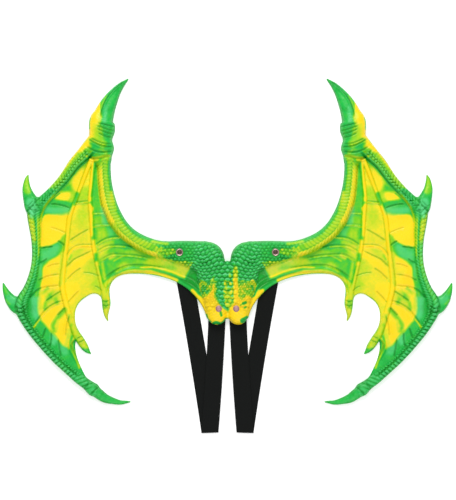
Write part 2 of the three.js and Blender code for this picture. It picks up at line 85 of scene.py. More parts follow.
# Widths and thicknesses of the moulding, which the rows of BONES take their shares of
ARM_WIDTH, ARM_THICK = 26, 17
SHOULDER_WIDTH, SHOULDER_THICK = 56, 22
LOBE_WIDTH = 50
MIDDLE_WIDTH = 58
TOP_CLAW_WIDTH, TOP_CLAW_THICK = 42, 22
OUTER_BONE_WIDTH, OUTER_BONE_THICK = 16, 13
SPUR_WIDTH, SPUR_THICK = 28, 12
END_CLAW_WIDTH = 21
FINGER_WIDTH, FINGER_THICK = 8, 9
HEM_THICK = 7
FOAM_SKIN = 4
BONE_EDGE = 2  # straight rim under a bone's rounded side
EDGE_ROUND = 2.4  # how far in from the rim the skin's face is rounded

# Straps and rivets, as the CAD has them
STRAP_WIDTH, STRAP_THICK = 27.5, 1.5
STRAP_END = 12  # strap left beyond a rivet
OUTER_RUN_BOW, INNER_RUN_BOW = 1.5, 1.1  # how far each run is bowed sideways at its middle
CLEARANCE = 0.3  # gap between neighbouring pieces
CAP_RADIUS = 5.5
SHANK_RADIUS = 2
LOWER_STRAP_MIDDLE = 16.1  # from the wings' middle to the strap's, at the lower rivet
STRAP_FOLD_OUT = 0.078  # how far out its fold lies, share of the half span
OUTER_RUN_RAMP = (0.2, 0.45)  # where the outer run drops to the floor, shares of its length
LIFT = 2 * STRAP_THICK + 2 * CLEARANCE  # the back's height over straps and caps
LIFT_FULL_TO, LIFT_ENDS_AT = 95.0, 150.0  # how far out the back is so high, and flat again

# Bones and claws of one wing, rows of out, up, and shares of that bone's width and thickness
BONES = {
    "arm": (ARM_WIDTH, ARM_THICK, [
        (0.547, 0.757, 0.81, 0.90),
        (0.547, 0.717, 0.80, 0.90),
        (0.542, 0.674, 0.83, 0.90),
        (0.530, 0.628, 0.92, 0.95),
        (0.510, 0.589, 0.94, 1.00),
        (0.472, 0.545, 0.92, 1.00),
        (0.420, 0.512, 0.89, 1.00),
        (0.348, 0.485, 1.01, 1.05),
        (0.273, 0.472, 1.10, 1.10),
        (0.202, 0.463, 1.43, 1.15)]),
    "shoulder": (SHOULDER_WIDTH, SHOULDER_THICK, [
        (0.273, 0.473, 0.50, 0.82),
        (0.220, 0.468, 0.63, 0.90),
        (0.166, 0.461, 0.77, 1.00),
        (0.118, 0.452, 0.93, 1.00),
        (0.088, 0.449, 0.92, 0.97)]),
    "lobe": (LOBE_WIDTH, SHOULDER_THICK, [
        (0.082, 0.448, 0.95, 0.90),
        (0.071, 0.405, 1.00, 1.00),
        (0.062, 0.362, 0.95, 1.00),
        (0.054, 0.326, 0.82, 0.95),
        (0.049, 0.297, 0.72, 0.88),
        (0.047, 0.276, 0.64, 0.80)]),
    "middle": (MIDDLE_WIDTH, SHOULDER_THICK, [
        (0, 0.433, 0.14, 0.55),
        (0, 0.415, 0.68, 0.85),
        (0, 0.380, 1.00, 0.96),
        (0, 0.335, 0.90, 0.92),
        (0, 0.300, 0.68, 0.80),
        (0, 0.280, 0.30, 0.50)]),
    "top_claw": (TOP_CLAW_WIDTH, TOP_CLAW_THICK, [
        (0.555, 0.754, 0.69, 0.75),
        (0.560, 0.778, 0.98, 0.95),
        (0.565, 0.804, 0.92, 0.90),
        (0.562, 0.821, 0.89, 0.88),
        (0.557, 0.844, 1.00, 0.95),
        (0.559, 0.867, 0.93, 0.92),
        (0.548, 0.888, 0.77, 0.80),
        (0.534, 0.912, 0.66, 0.72),
        (0.513, 0.939, 0.51, 0.60),
        (0.494, 0.959, 0.37, 0.50),
        (0.471, 0.978, 0.23, 0.38),
        (0.442, 0.996, 0.05, 0.22)]),
    "outer_bone_upper": (OUTER_BONE_WIDTH, OUTER_BONE_THICK, [
        (0.593, 0.803, 1.60, 1.20),
        (0.641, 0.766, 1.36, 1.15),
        (0.680, 0.738, 1.16, 1.10),
        (0.728, 0.692, 0.98, 1.00),
        (0.773, 0.657, 0.92, 1.00),
        (0.812, 0.630, 1.00, 1.00),
        (0.846, 0.604, 1.40, 1.00)]),
    "outer_bone_middle": (OUTER_BONE_WIDTH, OUTER_BONE_THICK, [
        (0.846, 0.613, 1.46, 1.00),
        (0.857, 0.583, 1.44, 1.00),
        (0.855, 0.552, 1.26, 0.95),
        (0.850, 0.509, 0.98, 0.92),
        (0.848, 0.466, 0.88, 0.92),
        (0.853, 0.427, 0.84, 0.92),
        (0.866, 0.388, 0.90, 0.95),
        (0.886, 0.352, 0.98, 1.00),
        (0.905, 0.326, 1.22, 1.10),
        (0.913, 0.301, 1.40, 1.10)]),
    "outer_bone_lower": (OUTER_BONE_WIDTH, OUTER_BONE_THICK, [
        (0.913, 0.313, 1.34, 1.10),
        (0.912, 0.284, 1.18, 1.05),
        (0.892, 0.255, 1.05, 1.00),
        (0.860, 0.221, 0.98, 1.00),
        (0.813, 0.181, 0.94, 1.00),
        (0.760, 0.141, 0.92, 1.00),
        (0.706, 0.107, 0.95, 1.00),
        (0.659, 0.080, 1.05, 1.00),
        (0.624, 0.062, 1.08, 1.00),
        (0.597, 0.047, 1.34, 1.00)]),
    "side_claw": (SPUR_WIDTH, SPUR_THICK, [
        (0.841, 0.581, 0.74, 0.90),
        (0.861, 0.606, 1.00, 0.90),
        (0.879, 0.633, 0.74, 0.80),
        (0.890, 0.657, 0.53, 0.65),
        (0.892, 0.674, 0.39, 0.50),
        (0.890, 0.691, 0.23, 0.38),
        (0.885, 0.702, 0.07, 0.25)]),
    "elbow_claw": (SPUR_WIDTH, SPUR_THICK, [
        (0.899, 0.301, 0.98, 0.90),
        (0.932, 0.305, 0.98, 0.90),
        (0.960, 0.320, 0.69, 0.80),
        (0.977, 0.338, 0.46, 0.60),
        (0.988, 0.355, 0.27, 0.42),
        (0.995, 0.371, 0.08, 0.25)]),
    "end_claw": (END_CLAW_WIDTH, SPUR_THICK, [
        (0.606, 0.051, 0.82, 1.00),
        (0.573, 0.034, 0.80, 0.85),
        (0.544, 0.020, 0.69, 0.72),
        (0.510, 0.012, 0.50, 0.58),
        (0.477, 0.007, 0.34, 0.44),
        (0.451, 0.008, 0.21, 0.34),
        (0.432, 0.009, 0.08, 0.25)]),
    "middle_finger": (FINGER_WIDTH, FINGER_THICK, [
        (0.601, 0.754, 1.04, 1.00),
        (0.630, 0.705, 0.88, 0.95),
        (0.668, 0.635, 0.80, 0.90),
        (0.697, 0.583, 0.96, 0.90),
        (0.710, 0.515, 0.96, 0.90),
        (0.723, 0.436, 1.00, 0.90),
        (0.733, 0.369, 1.12, 0.95),
        (0.717, 0.313, 1.12, 0.95),
        (0.695, 0.258, 1.12, 0.95),
        (0.674, 0.222, 1.40, 1.00),
        (0.653, 0.197, 1.64, 0.95),
        (0.635, 0.178, 1.52, 0.85),
        (0.621, 0.165, 0.96, 0.60),
        (0.608, 0.157, 0.24, 0.33)]),
    "inner_finger": (FINGER_WIDTH, FINGER_THICK, [
        (0.588, 0.754, 0.96, 1.00),
        (0.601, 0.693, 0.80, 0.95),
        (0.609, 0.631, 0.88, 0.95),
        (0.602, 0.558, 0.96, 0.95),
        (0.595, 0.491, 0.84, 0.90),
        (0.577, 0.424, 0.76, 0.85),
        (0.557, 0.369, 0.92, 0.90),
        (0.542, 0.335, 1.60, 1.00),
        (0.538, 0.310, 1.72, 1.00),
        (0.539, 0.289, 1.28, 0.85),
        (0.538, 0.272, 0.72, 0.60),
        (0.531, 0.258, 0.24, 0.33)]),
    "root_hem": (FINGER_WIDTH, HEM_THICK, [
        (0.535, 0.352, 0.30, 0.80),
        (0.515, 0.390, 0.80, 1.00),
        (0.477, 0.407, 0.90, 1.00),
        (0.389, 0.415, 1.00, 1.00),
        (0.277, 0.408, 1.10, 1.00),
        (0.166, 0.380, 1.20, 1.00),
        (0.095, 0.340, 1.20, 1.00)]),
}
CLAWS_FROM_A_BONE = ("side_claw", "elbow_claw")
THIN_RIBS = ("middle_finger", "inner_finger", "root_hem")
BODY = ("shoulder", "lobe", "middle")

# The skin's border, out and up: first where the bones hide it, then its free edges
SKIN_UNDER_ARM = [
    (0.548, 0.754), (0.548, 0.693), (0.535, 0.635), (0.504, 0.576), (0.442, 0.521),
    (0.348, 0.485), (0.255, 0.469), (0.131, 0.451), (0.064, 0.411), (0.060, 0.320), (0.069, 0.265)]
ROOT_EDGE = [
    (0.091, 0.265), (0.109, 0.297), (0.140, 0.329), (0.184, 0.358), (0.237, 0.379), (0.300, 0.393),
    (0.366, 0.400), (0.428, 0.401), (0.473, 0.396), (0.504, 0.383), (0.522, 0.361), (0.525, 0.330),
    (0.544, 0.310)]
MIDDLE_EDGE = [
    (0.548, 0.310), (0.561, 0.329), (0.579, 0.339), (0.604, 0.339), (0.630, 0.329), (0.655, 0.315),
    (0.672, 0.295), (0.677, 0.269), (0.672, 0.240), (0.664, 0.213)]
OUTER_EDGE = [
    (0.655, 0.194), (0.670, 0.200), (0.675, 0.191), (0.675, 0.170), (0.666, 0.142), (0.649, 0.113),
    (0.626, 0.081)]
SKIN_UNDER_OUTER_BONE = [
    (0.632, 0.075), (0.735, 0.124), (0.832, 0.194), (0.903, 0.268), (0.912, 0.307), (0.877, 0.369),
    (0.850, 0.436), (0.850, 0.518), (0.854, 0.589), (0.810, 0.631), (0.730, 0.690), (0.655, 0.754),
    (0.588, 0.784)]

# Veins: what it is, ridge, groove and half width in millimetres, and marks along it
VEINS = [
    ("first line of the inner panel", 0.8, 0.3, 1.3, [(94, 214), (99, 213.6), (104, 213)]),
    ("second line of the inner panel", 0.8, 0.3, 1.3, [(94, 226), (102, 225), (110, 225)]),
    ("first vein from the inner finger", 0.9, 0.5, 1.4, [
        (95.5, 246.5), (105, 240), (113, 238), (120, 237.5)]),
    ("second vein from the inner finger", 1.0, 0.5, 1.5, [
        (97, 253), (106, 247.5), (115, 246.3), (125, 246.5), (135, 249)]),
    ("third vein from the inner finger", 1.0, 0.5, 1.5, [
        (100, 262), (110, 256), (120, 255.3), (135, 256.5), (150, 259.5)]),
    ("vein over the hem", 0.9, 0.6, 1.5, [
        (104.5, 280), (112, 274), (121, 269), (131, 266.3), (150, 267), (166, 270)]),
    ("line across the middle panel's top", 0.8, 0.5, 1.2, [(76, 203.5), (82, 202.5), (89, 202)]),
    ("first slanting vein of the middle panel", 0.5, 0.8, 1.1, [(70, 241.5), (80, 235), (90, 229.5)]),
    ("fold of the middle panel", 0.8, 0.5, 1.3, [(67.5, 257), (72, 250), (80, 246), (94, 246)]),
    ("second slanting vein of the middle panel", 0.4, 0.8, 1.1, [
        (67, 267.5), (75, 260), (84, 255.5), (92, 251.5)]),
    ("third slanting vein of the middle panel", 0.4, 0.8, 1.1, [(68, 280), (75, 273), (82, 268.5)]),
    ("lowest vein of the middle panel", 0.4, 0.8, 1.0, [(69, 303), (74, 297), (80, 291)]),
    ("level vein of the middle panel", 0.4, 0.5, 1.0, [(82, 273), (91, 274), (100, 277)]),
    ("short vein beside the inner finger", 0.3, 0.5, 0.9, [(94, 286.5), (98, 288), (102, 291.5)]),
    ("vein of the green band", 0.3, 0.9, 1.1, [(50, 205), (56, 205), (63, 206.5), (70, 209)]),
    ("vein of the second yellow patch", 0.4, 0.6, 1.1, [(50, 228), (57, 230), (65, 233.5)]),
    ("short stroke over the green triangle", 0.2, 1.0, 1.1, [(57, 241.5), (60, 243), (64, 246)]),
    ("upper edge of the green triangle", 0.2, 1.0, 1.1, [(41, 249), (47, 248), (53.5, 247.3)]),
    ("lower edge of the green triangle", 0.3, 0.8, 1.1, [(40, 263.5), (44, 262), (48, 259)]),
    ("first fold of the outer panel", 0.3, 0.7, 1.0, [(47, 268), (53, 265.5), (60, 264.5)]),
    ("second fold of the outer panel", 0.3, 0.8, 1.1, [(38, 281.5), (48, 277), (60, 275)]),
    ("third fold, from the elbow", 0.6, 0.8, 1.3, [(30, 299), (38, 291), (46, 288), (60, 286.5)]),
    ("short fold under it", 0.4, 0.8, 1.1, [(46, 302), (54, 296.5), (62, 291.5)]),
    ("long fold of the outer panel", 0.9, 0.7, 1.3, [
        (35, 326), (41, 317), (48, 309), (57, 303.5), (66, 301.5)]),
    ("short stroke under the long fold", 0.2, 1.0, 1.1, [(58, 316), (62, 312), (66, 308)]),
    ("ridge beside the middle finger's foot", 0.5, 0.6, 1.2, [(68.5, 314), (65.5, 324), (64, 336)]),
    ("first vein of the lower green", 0.3, 0.9, 1.1, [(44.5, 327), (43, 332), (41, 338)]),
    ("second vein of the lower green", 0.3, 0.9, 1.1, [(50, 332), (50, 340), (48, 348)]),
    ("third vein of the lower green", 0.3, 0.6, 1.2, [(57, 338), (58, 347), (60, 357)]),
]
# Creases of the bones and claws, as the rows of VEINS are
CREASES = [
    ("long wrinkle of the side claw's root", 0.5, 0.7, 0.9, [
        (26, 214), (29.5, 210), (33.5, 206.6), (39, 206), (45, 207)]),
    ("lower wrinkle of the side claw's root", 0.4, 0.6, 0.9, [(29, 216), (34, 212.8), (40, 213)]),
    ("wrinkle over the side claw's root", 0.3, 0.45, 0.9, [
        (24.5, 204.5), (28.5, 206.5), (33, 202.5), (37, 199.5)]),
    ("wrinkle towards the upper outer bone", 0.3, 0.4, 0.9, [(34, 204), (40, 202), (46, 201.5)]),
    ("edge along the top claw", 1.0, 0.8, 1.0, [
        (102.8, 119), (103, 113), (105.3, 105), (109.5, 97), (117, 88.5), (127, 81)]),
    ("first ring of the knuckle", 0.7, 0.8, 1.0, [
        (97.5, 124.2), (104, 125.6), (110, 127), (116, 128.2)]),
    ("second ring of the knuckle", 0.7, 0.8, 1.0, [(97, 127), (104, 129.4), (110, 131.2), (115, 132)]),
    ("third ring of the knuckle", 0.7, 0.8, 1.0, [(97.5, 130), (104, 133), (109, 134.6), (113.5, 135)]),
    ("fourth ring of the knuckle", 0.6, 0.7, 1.0, [(98, 134), (104, 137), (108, 138.2), (112, 138.4)]),
    ("upper fold behind the wedge", 0.9, 0.4, 1.2, [(183, 276), (190, 278.5), (196, 283), (200, 289)]),
    ("lower fold behind the wedge", 0.7, 0.4, 1.1, [(180, 279.5), (188, 283), (194, 287), (198, 291)]),
    ("lower fold of the wrist", 0.8, 1.1, 1.3, [
        (88.5, 140.5), (94, 143.5), (101, 146.8), (108, 148.4), (113.5, 148)]),
    ("upper fold of the wrist", 0.5, 0.8, 1.1, [(91, 139), (97, 142.2), (104, 144.6), (112, 145)]),
    ("fold of the collar", 0.6, 0.9, 1.3, [
        (85.5, 146.5), (91, 150.5), (98, 153.3), (106, 153.8), (113, 152.5)]),
    ("collar's foot", 1.0, 0.9, 1.6, [
        (82.5, 150.5), (86.5, 156), (92, 160), (100, 160.3), (106, 158.8), (112, 157.5)]),
    ("fold across the side claw's root", 0.4, 0.8, 1.2, [(28, 213), (33, 208), (38, 201.5), (43, 198)]),
    ("level fold of the side claw's root", 0.3, 0.8, 1.2, [(26.5, 207), (32, 210.5), (40, 212)]),
    ("upright fold of the side claw's root", 0.4, 0.7, 1.2, [(34.5, 197), (35, 204), (40, 210)]),
    ("first crease of the end claw's root", 0.3, 0.9, 1.1, [(84.5, 389.5), (88, 385.5), (91, 381)]),
    ("second crease of the end claw's root", 0.3, 1.1, 1.2, [(91, 396), (95, 391.5), (99.5, 387.5)]),
    ("first ring of the inner finger's claw", 0.5, 0.8, 1.0, [(102, 301), (106, 302.3), (110, 301)]),
    ("second ring of the inner finger's claw", 0.7, 0.8, 1.0, [
        (101.8, 305), (106, 306.8), (110.6, 305)]),
    ("first ring of the middle finger's claw", 0.5, 0.8, 1.0, [
        (77.5, 339), (81, 337.5), (84.5, 334.5)]),
    ("second ring of the middle finger's claw", 0.7, 0.8, 1.0, [
        (78.5, 343), (82.5, 341.8), (86.5, 339)]),
    ("ridge at the fingers' fork", 1.1, 0.6, 1.6, [
        (76.5, 337.5), (71.8, 340.5), (69.7, 346), (72.5, 353), (77, 360.5), (81, 368)]),
    ("ridge inside the outer bone", 0.7, 0.3, 1.0, [
        (57, 192), (50, 199.5), (44.6, 206.5), (42, 213), (41, 222), (41, 245)]),
]

# Paint: what it is, value, softness and wander of its edge, and marks round it
PATCHES = [
    ("top of the outer panel", 0.56, 6.2, 2, [
        (87, 159), (80, 167), (72, 177), (65, 186), (59, 192), (70, 194), (78, 194), (81, 184),
        (85, 172)]),
    ("thin yellow beside the middle finger", 0.95, 7.5, 2, [
        (81, 168), (75, 173), (70.5, 180), (70.5, 187.5), (76.5, 193), (80.5, 184), (84.5, 172)]),
    ("thicker yellow there", 0.97, 4.5, 2, [(77.5, 177), (73.5, 184), (76, 191), (80, 184)]),
    ("green over the first yellow patch", 0.27, 4.8, 2, [
        (70, 184.5), (65, 185), (60.5, 190.5), (66, 193.5), (73, 193.5), (71.5, 188)]),
    ("first yellow patch", 0.94, 3.5, 2, [
        (58, 192), (64, 191.7), (70, 192.3), (72, 194.5), (71.5, 198), (68.5, 200.8), (62, 200),
        (56.5, 198.7), (54, 197.6)]),
    ("thin end of the first yellow patch", 0.6, 4.8, 2, [
        (70.5, 191.5), (75.5, 193), (74, 202.5), (69.5, 201.5)]),
    ("green band", 0.16, 3.1, 2, [
        (52, 199.3), (58, 200), (64, 202.2), (70, 202.8), (73.5, 204), (71.5, 209), (67.5, 213.4),
        (56, 213.6), (46.5, 214), (43.5, 215), (45, 209.5), (48.5, 204)]),
    ("lighter end of the green band", 0.28, 4.8, 2, [(61, 207), (70, 207), (68, 213), (60, 213)]),
    ("second yellow patch", 0.93, 3.4, 2, [
        (43.5, 215.4), (50, 215), (58, 214.4), (64, 213.7), (70, 212.5), (69, 222), (67.5, 232),
        (65, 235.5), (61, 239.3), (56.5, 241.7), (53, 243.8), (48, 245.8), (43, 247), (40.6, 247.3),
        (41, 236), (41.3, 225), (42, 218.5)]),
    ("lime beside the green triangle", 0.48, 4.8, 2, [
        (59.5, 240.3), (65, 235.5), (68, 238), (67, 247), (64.5, 252), (60, 252), (63.5, 245)]),
    ("green triangle", 0.2, 3.4, 2, [
        (40.5, 247.4), (48, 247.3), (54, 244.8), (57.5, 242), (60.5, 241.8), (63.2, 245.3), (61.5, 249),
        (57.5, 253.2), (52, 257.4), (47, 260.5), (42, 263.2), (40.3, 263.8)]),
    ("third yellow patch", 0.94, 3.4, 2, [
        (64, 251), (57.5, 255.3), (50.5, 259.6), (45.8, 262.7), (43.2, 267.5), (42.3, 275), (41.4, 282),
        (40.2, 288), (39.4, 293), (38.6, 298), (37.9, 304), (37.8, 310), (39, 315), (41.5, 319.3),
        (46, 324.7), (51, 330), (56, 336), (61, 342), (66, 346.3), (70.5, 348), (71.5, 338), (71, 326),
        (68.5, 314), (66, 300), (64.5, 285), (66, 268)]),
    ("thicker yellow at its outer side", 1, 6.4, 2, [
        (45.5, 266), (50, 265), (51.5, 279), (48, 287.5), (42.5, 287), (43.3, 275)]),
    ("thin yellow under the first fold", 0.86, 4.8, 2, [(50, 268), (59, 267), (59, 273), (51, 274)]),
    ("lime between the folds", 0.7, 5.1, 2, [
        (47, 292.5), (53, 289.5), (58, 290.5), (60, 291), (60.5, 297), (56.5, 303.5), (51, 306),
        (46.5, 310.5), (43.5, 309), (44.5, 302), (45.5, 296)]),
    ("green in the lime", 0.4, 3.8, 2, [(48, 294.5), (51, 292.5), (51.3, 298.5), (47, 301.5)]),
    ("thicker yellow under the long fold", 1, 4.8, 2, [
        (43.5, 317), (48, 311), (54, 308), (57, 307.5), (53, 315.5), (51, 324.5), (50, 328.5),
        (46, 323.5)]),
    ("middle panel", 0.83, 3.5, 2, [
        (74.3, 205.2), (82, 203.8), (90, 203.2), (92.5, 207), (92.5, 214), (92.3, 226), (92.5, 236),
        (95, 246), (96.5, 256), (98.5, 266), (101, 280), (103, 292), (102, 299), (96, 296), (90, 296),
        (85, 298), (79, 304), (77, 311), (77, 318), (80, 329), (71.5, 325), (68.5, 312), (66, 300),
        (64.5, 285), (66, 268), (67.5, 250), (68.5, 235), (70.5, 220), (72.5, 211)]),
    ("its top between the fingers", 0.84, 4.9, 2, [
        (88.5, 165), (91.5, 163), (91, 178), (90, 190), (79.5, 190), (83, 178)]),
    ("lime at the foot of its top", 0.6, 6.2, 2, [(80, 187.5), (90.5, 186.5), (90, 202), (76.5, 203)]),
    ("yellow beside the middle finger's knee", 0.97, 5.5, 2, [
        (75, 205.3), (80.5, 205), (80, 212), (72.5, 219)]),
    ("yellow on the inner finger's knee", 0.99, 2.7, 1.5, [
        (88, 204), (91, 203.3), (93.2, 207.5), (93, 212), (91, 214.3), (88.3, 212.5)]),
    ("lime in the middle panel", 0.7, 7.5, 2, [(77, 208), (88, 207.5), (88.5, 227), (76, 224)]),
    ("lime over the middle fold", 0.66, 5.9, 2, [
        (71, 253), (76, 248.5), (85, 248.3), (80, 253.5), (72, 259)]),
    ("yellow under the middle fold", 0.94, 6.6, 2, [
        (67, 268), (73, 262.5), (84, 256.5), (91, 252.5), (94, 257), (87, 263), (79, 268.5), (72, 276),
        (67, 280)]),
    ("lime beside the inner finger", 0.68, 6.4, 2, [
        (85, 265), (91, 258.5), (96.5, 259), (99, 268), (96, 273.5), (86, 272)]),
    ("yellow at the foot of the middle panel", 0.94, 5.8, 2, [
        (68, 284), (74, 283), (80, 289), (78, 296), (72, 304), (68, 300)]),
    ("lime at the inner finger's foot", 0.67, 5.8, 2, [
        (93, 275), (100, 274), (103, 289), (99, 292.5), (92, 288)]),
    ("green beside the arm", 0.3, 2.4, 1.5, [
        (94.8, 163), (97.5, 163), (99.3, 180), (101, 195), (103.5, 207), (104.8, 213), (93.5, 213.6),
        (94, 208), (91, 201.5), (92.6, 194), (94.2, 180)]),
    ("light green under the first line", 0.42, 5.5, 2, [
        (93.6, 214.5), (105, 214), (109, 221.5), (108.8, 225.5), (94, 227)]),
    ("green beside the arm, lower", 0.2, 3.8, 2, [
        (103.5, 216), (106.5, 216.5), (112, 228), (118.5, 235), (121, 238), (112, 238.5), (107.5, 239),
        (107.5, 228)]),
    ("lime of the inner panel", 0.58, 6.2, 2, [
        (97.5, 228), (106, 227.5), (107.5, 238), (104, 241), (98, 244), (96, 240)]),
    ("yellow lime at the inner panel's finger side", 0.76, 5.4, 2, [
        (96.5, 245), (104, 242), (110.5, 240.5), (112, 246), (108, 251), (103, 257), (99.5, 260),
        (97.5, 256)]),
    ("lime beside it", 0.5, 4.8, 2, [(108.5, 240.5), (115, 239), (114, 245.5), (109.5, 246)]),
    ("green under the arm", 0.17, 4.2, 2, [
        (115.5, 239), (121, 237.5), (129, 245), (136, 248), (128, 247.5), (121, 245), (114, 245.3)]),
    ("green under the second line", 0.36, 2.6, 1.5, [
        (107.5, 250), (111.5, 248), (120, 247.7), (124, 250), (116, 252.3), (108.5, 252.7)]),
    ("lime between the lines", 0.68, 3.8, 2, [
        (100.5, 258), (105, 252), (110, 253), (114, 253.5), (108, 257.3), (102, 261.5)]),
    ("light green between the lines", 0.46, 4.2, 2, [
        (119.5, 250.5), (130, 248.8), (140, 251), (148, 256.5), (136, 255.4), (125, 254.8),
        (119, 256.6), (114, 259.8), (112.5, 257.5)]),
    ("green under the third line", 0.3, 3.8, 2, [
        (119, 260), (124, 257.3), (134, 257.2), (142, 258), (138, 261), (126, 261.5)]),
    ("green patch at the finger side", 0.3, 4.8, 2, [
        (107, 262), (112, 260.5), (117.5, 261.5), (118, 266), (113, 271.3), (107.5, 274.5),
        (106, 268)]),
    ("lime of the root panel", 0.7, 5.8, 2, [
        (120, 263.5), (124, 262.3), (134, 263), (131, 266.2), (124, 268.8), (118, 271.6),
        (116, 270.5)]),
    ("light green of the root panel", 0.5, 5.4, 2, [
        (135, 261.5), (145, 260), (149, 262.5), (147, 266), (136, 266.6)]),
    ("olive yellow of the root panel", 0.62, 4.8, 2, [
        (147, 257.5), (157, 257), (168, 261), (168, 266.5), (150, 266.8), (146, 262.5)]),
    ("yellow wedge under the shoulder", 0.71, 3.9, 2.5, [
        (161, 266.3), (168, 261.5), (178, 263.8), (187, 265), (192.6, 262), (190.3, 268), (186.8, 273),
        (184.6, 277), (175, 273), (165, 269.8)]),
    ("lime spot in the wedge", 0.5, 4.2, 2, [
        (160, 265), (166, 263.5), (174, 265), (176, 269.5), (169, 269), (162, 267.5)]),
    ("smooth green behind the wedge", 0.0, 2.4, 2, [
        (192.5, 263.6), (197, 270), (200.5, 279), (203, 288), (204, 296.3), (199, 294), (192.5, 288.5),
        (184, 282.5), (177.5, 278.5), (184.5, 277.3), (187.5, 272.5)]),
    ("yellow flank of the top claw", 1, 2, 1.5, [
        (101.8, 100), (101.3, 105), (101, 112), (101, 118.5), (99.3, 124), (97.6, 129), (97, 134.5),
        (95, 137.5), (89.5, 138.6), (84, 140), (84, 128), (87, 114)]),
    ("lime edge of the yellow flank", 0.76, 3.4, 1.5, [
        (98.5, 111), (101, 111), (102, 119), (100, 125), (97.5, 124.5)]),
    ("fading foot of the yellow flank", 0.78, 4.5, 2, [
        (93, 123), (99, 124), (101.5, 130), (102, 138), (94, 139)]),
    ("lime of the first rings", 0.52, 4.5, 2, [
        (98, 126), (103, 127.5), (103.5, 136.5), (107, 146), (101, 146.5), (97.5, 138)]),
    ("yellow of the wrist", 0.93, 4.5, 2, [
        (91, 138.2), (86, 139), (79, 146), (73, 154), (79.5, 155.2), (84, 152), (87.5, 149.5),
        (91.5, 147.5), (90, 143)]),
    ("lime of the wrist", 0.64, 3.5, 2, [
        (91, 138.6), (98, 138.6), (105, 145), (104, 147), (96, 143.5), (92, 142)]),
    ("lime of the collar", 0.5, 3.5, 2, [
        (85.5, 149), (93, 150.5), (101, 148.8), (108, 150.5), (107, 155), (95, 155.2), (87, 153.5)]),
    ("green of the collar", 0.22, 2.4, 1.5, [
        (96, 150.5), (102.5, 150.5), (105, 153.5), (99.5, 154.8), (95.5, 153)]),
    ("middle finger's claw", 0.66, 2.2, 2, [
        (75.5, 329), (80, 328), (89, 338), (90, 347), (86, 349), (79, 344)]),
    ("inner finger's claw root", 0.5, 2.2, 2, [
        (101, 294), (107, 292), (109, 300), (110.5, 308.5), (101.5, 308.5)]),
    ("inner finger's claw tip", 0.76, 2, 2, [
        (102, 309.5), (106, 308.5), (111, 308.8), (110, 316), (108.2, 323), (104, 316)]),
]
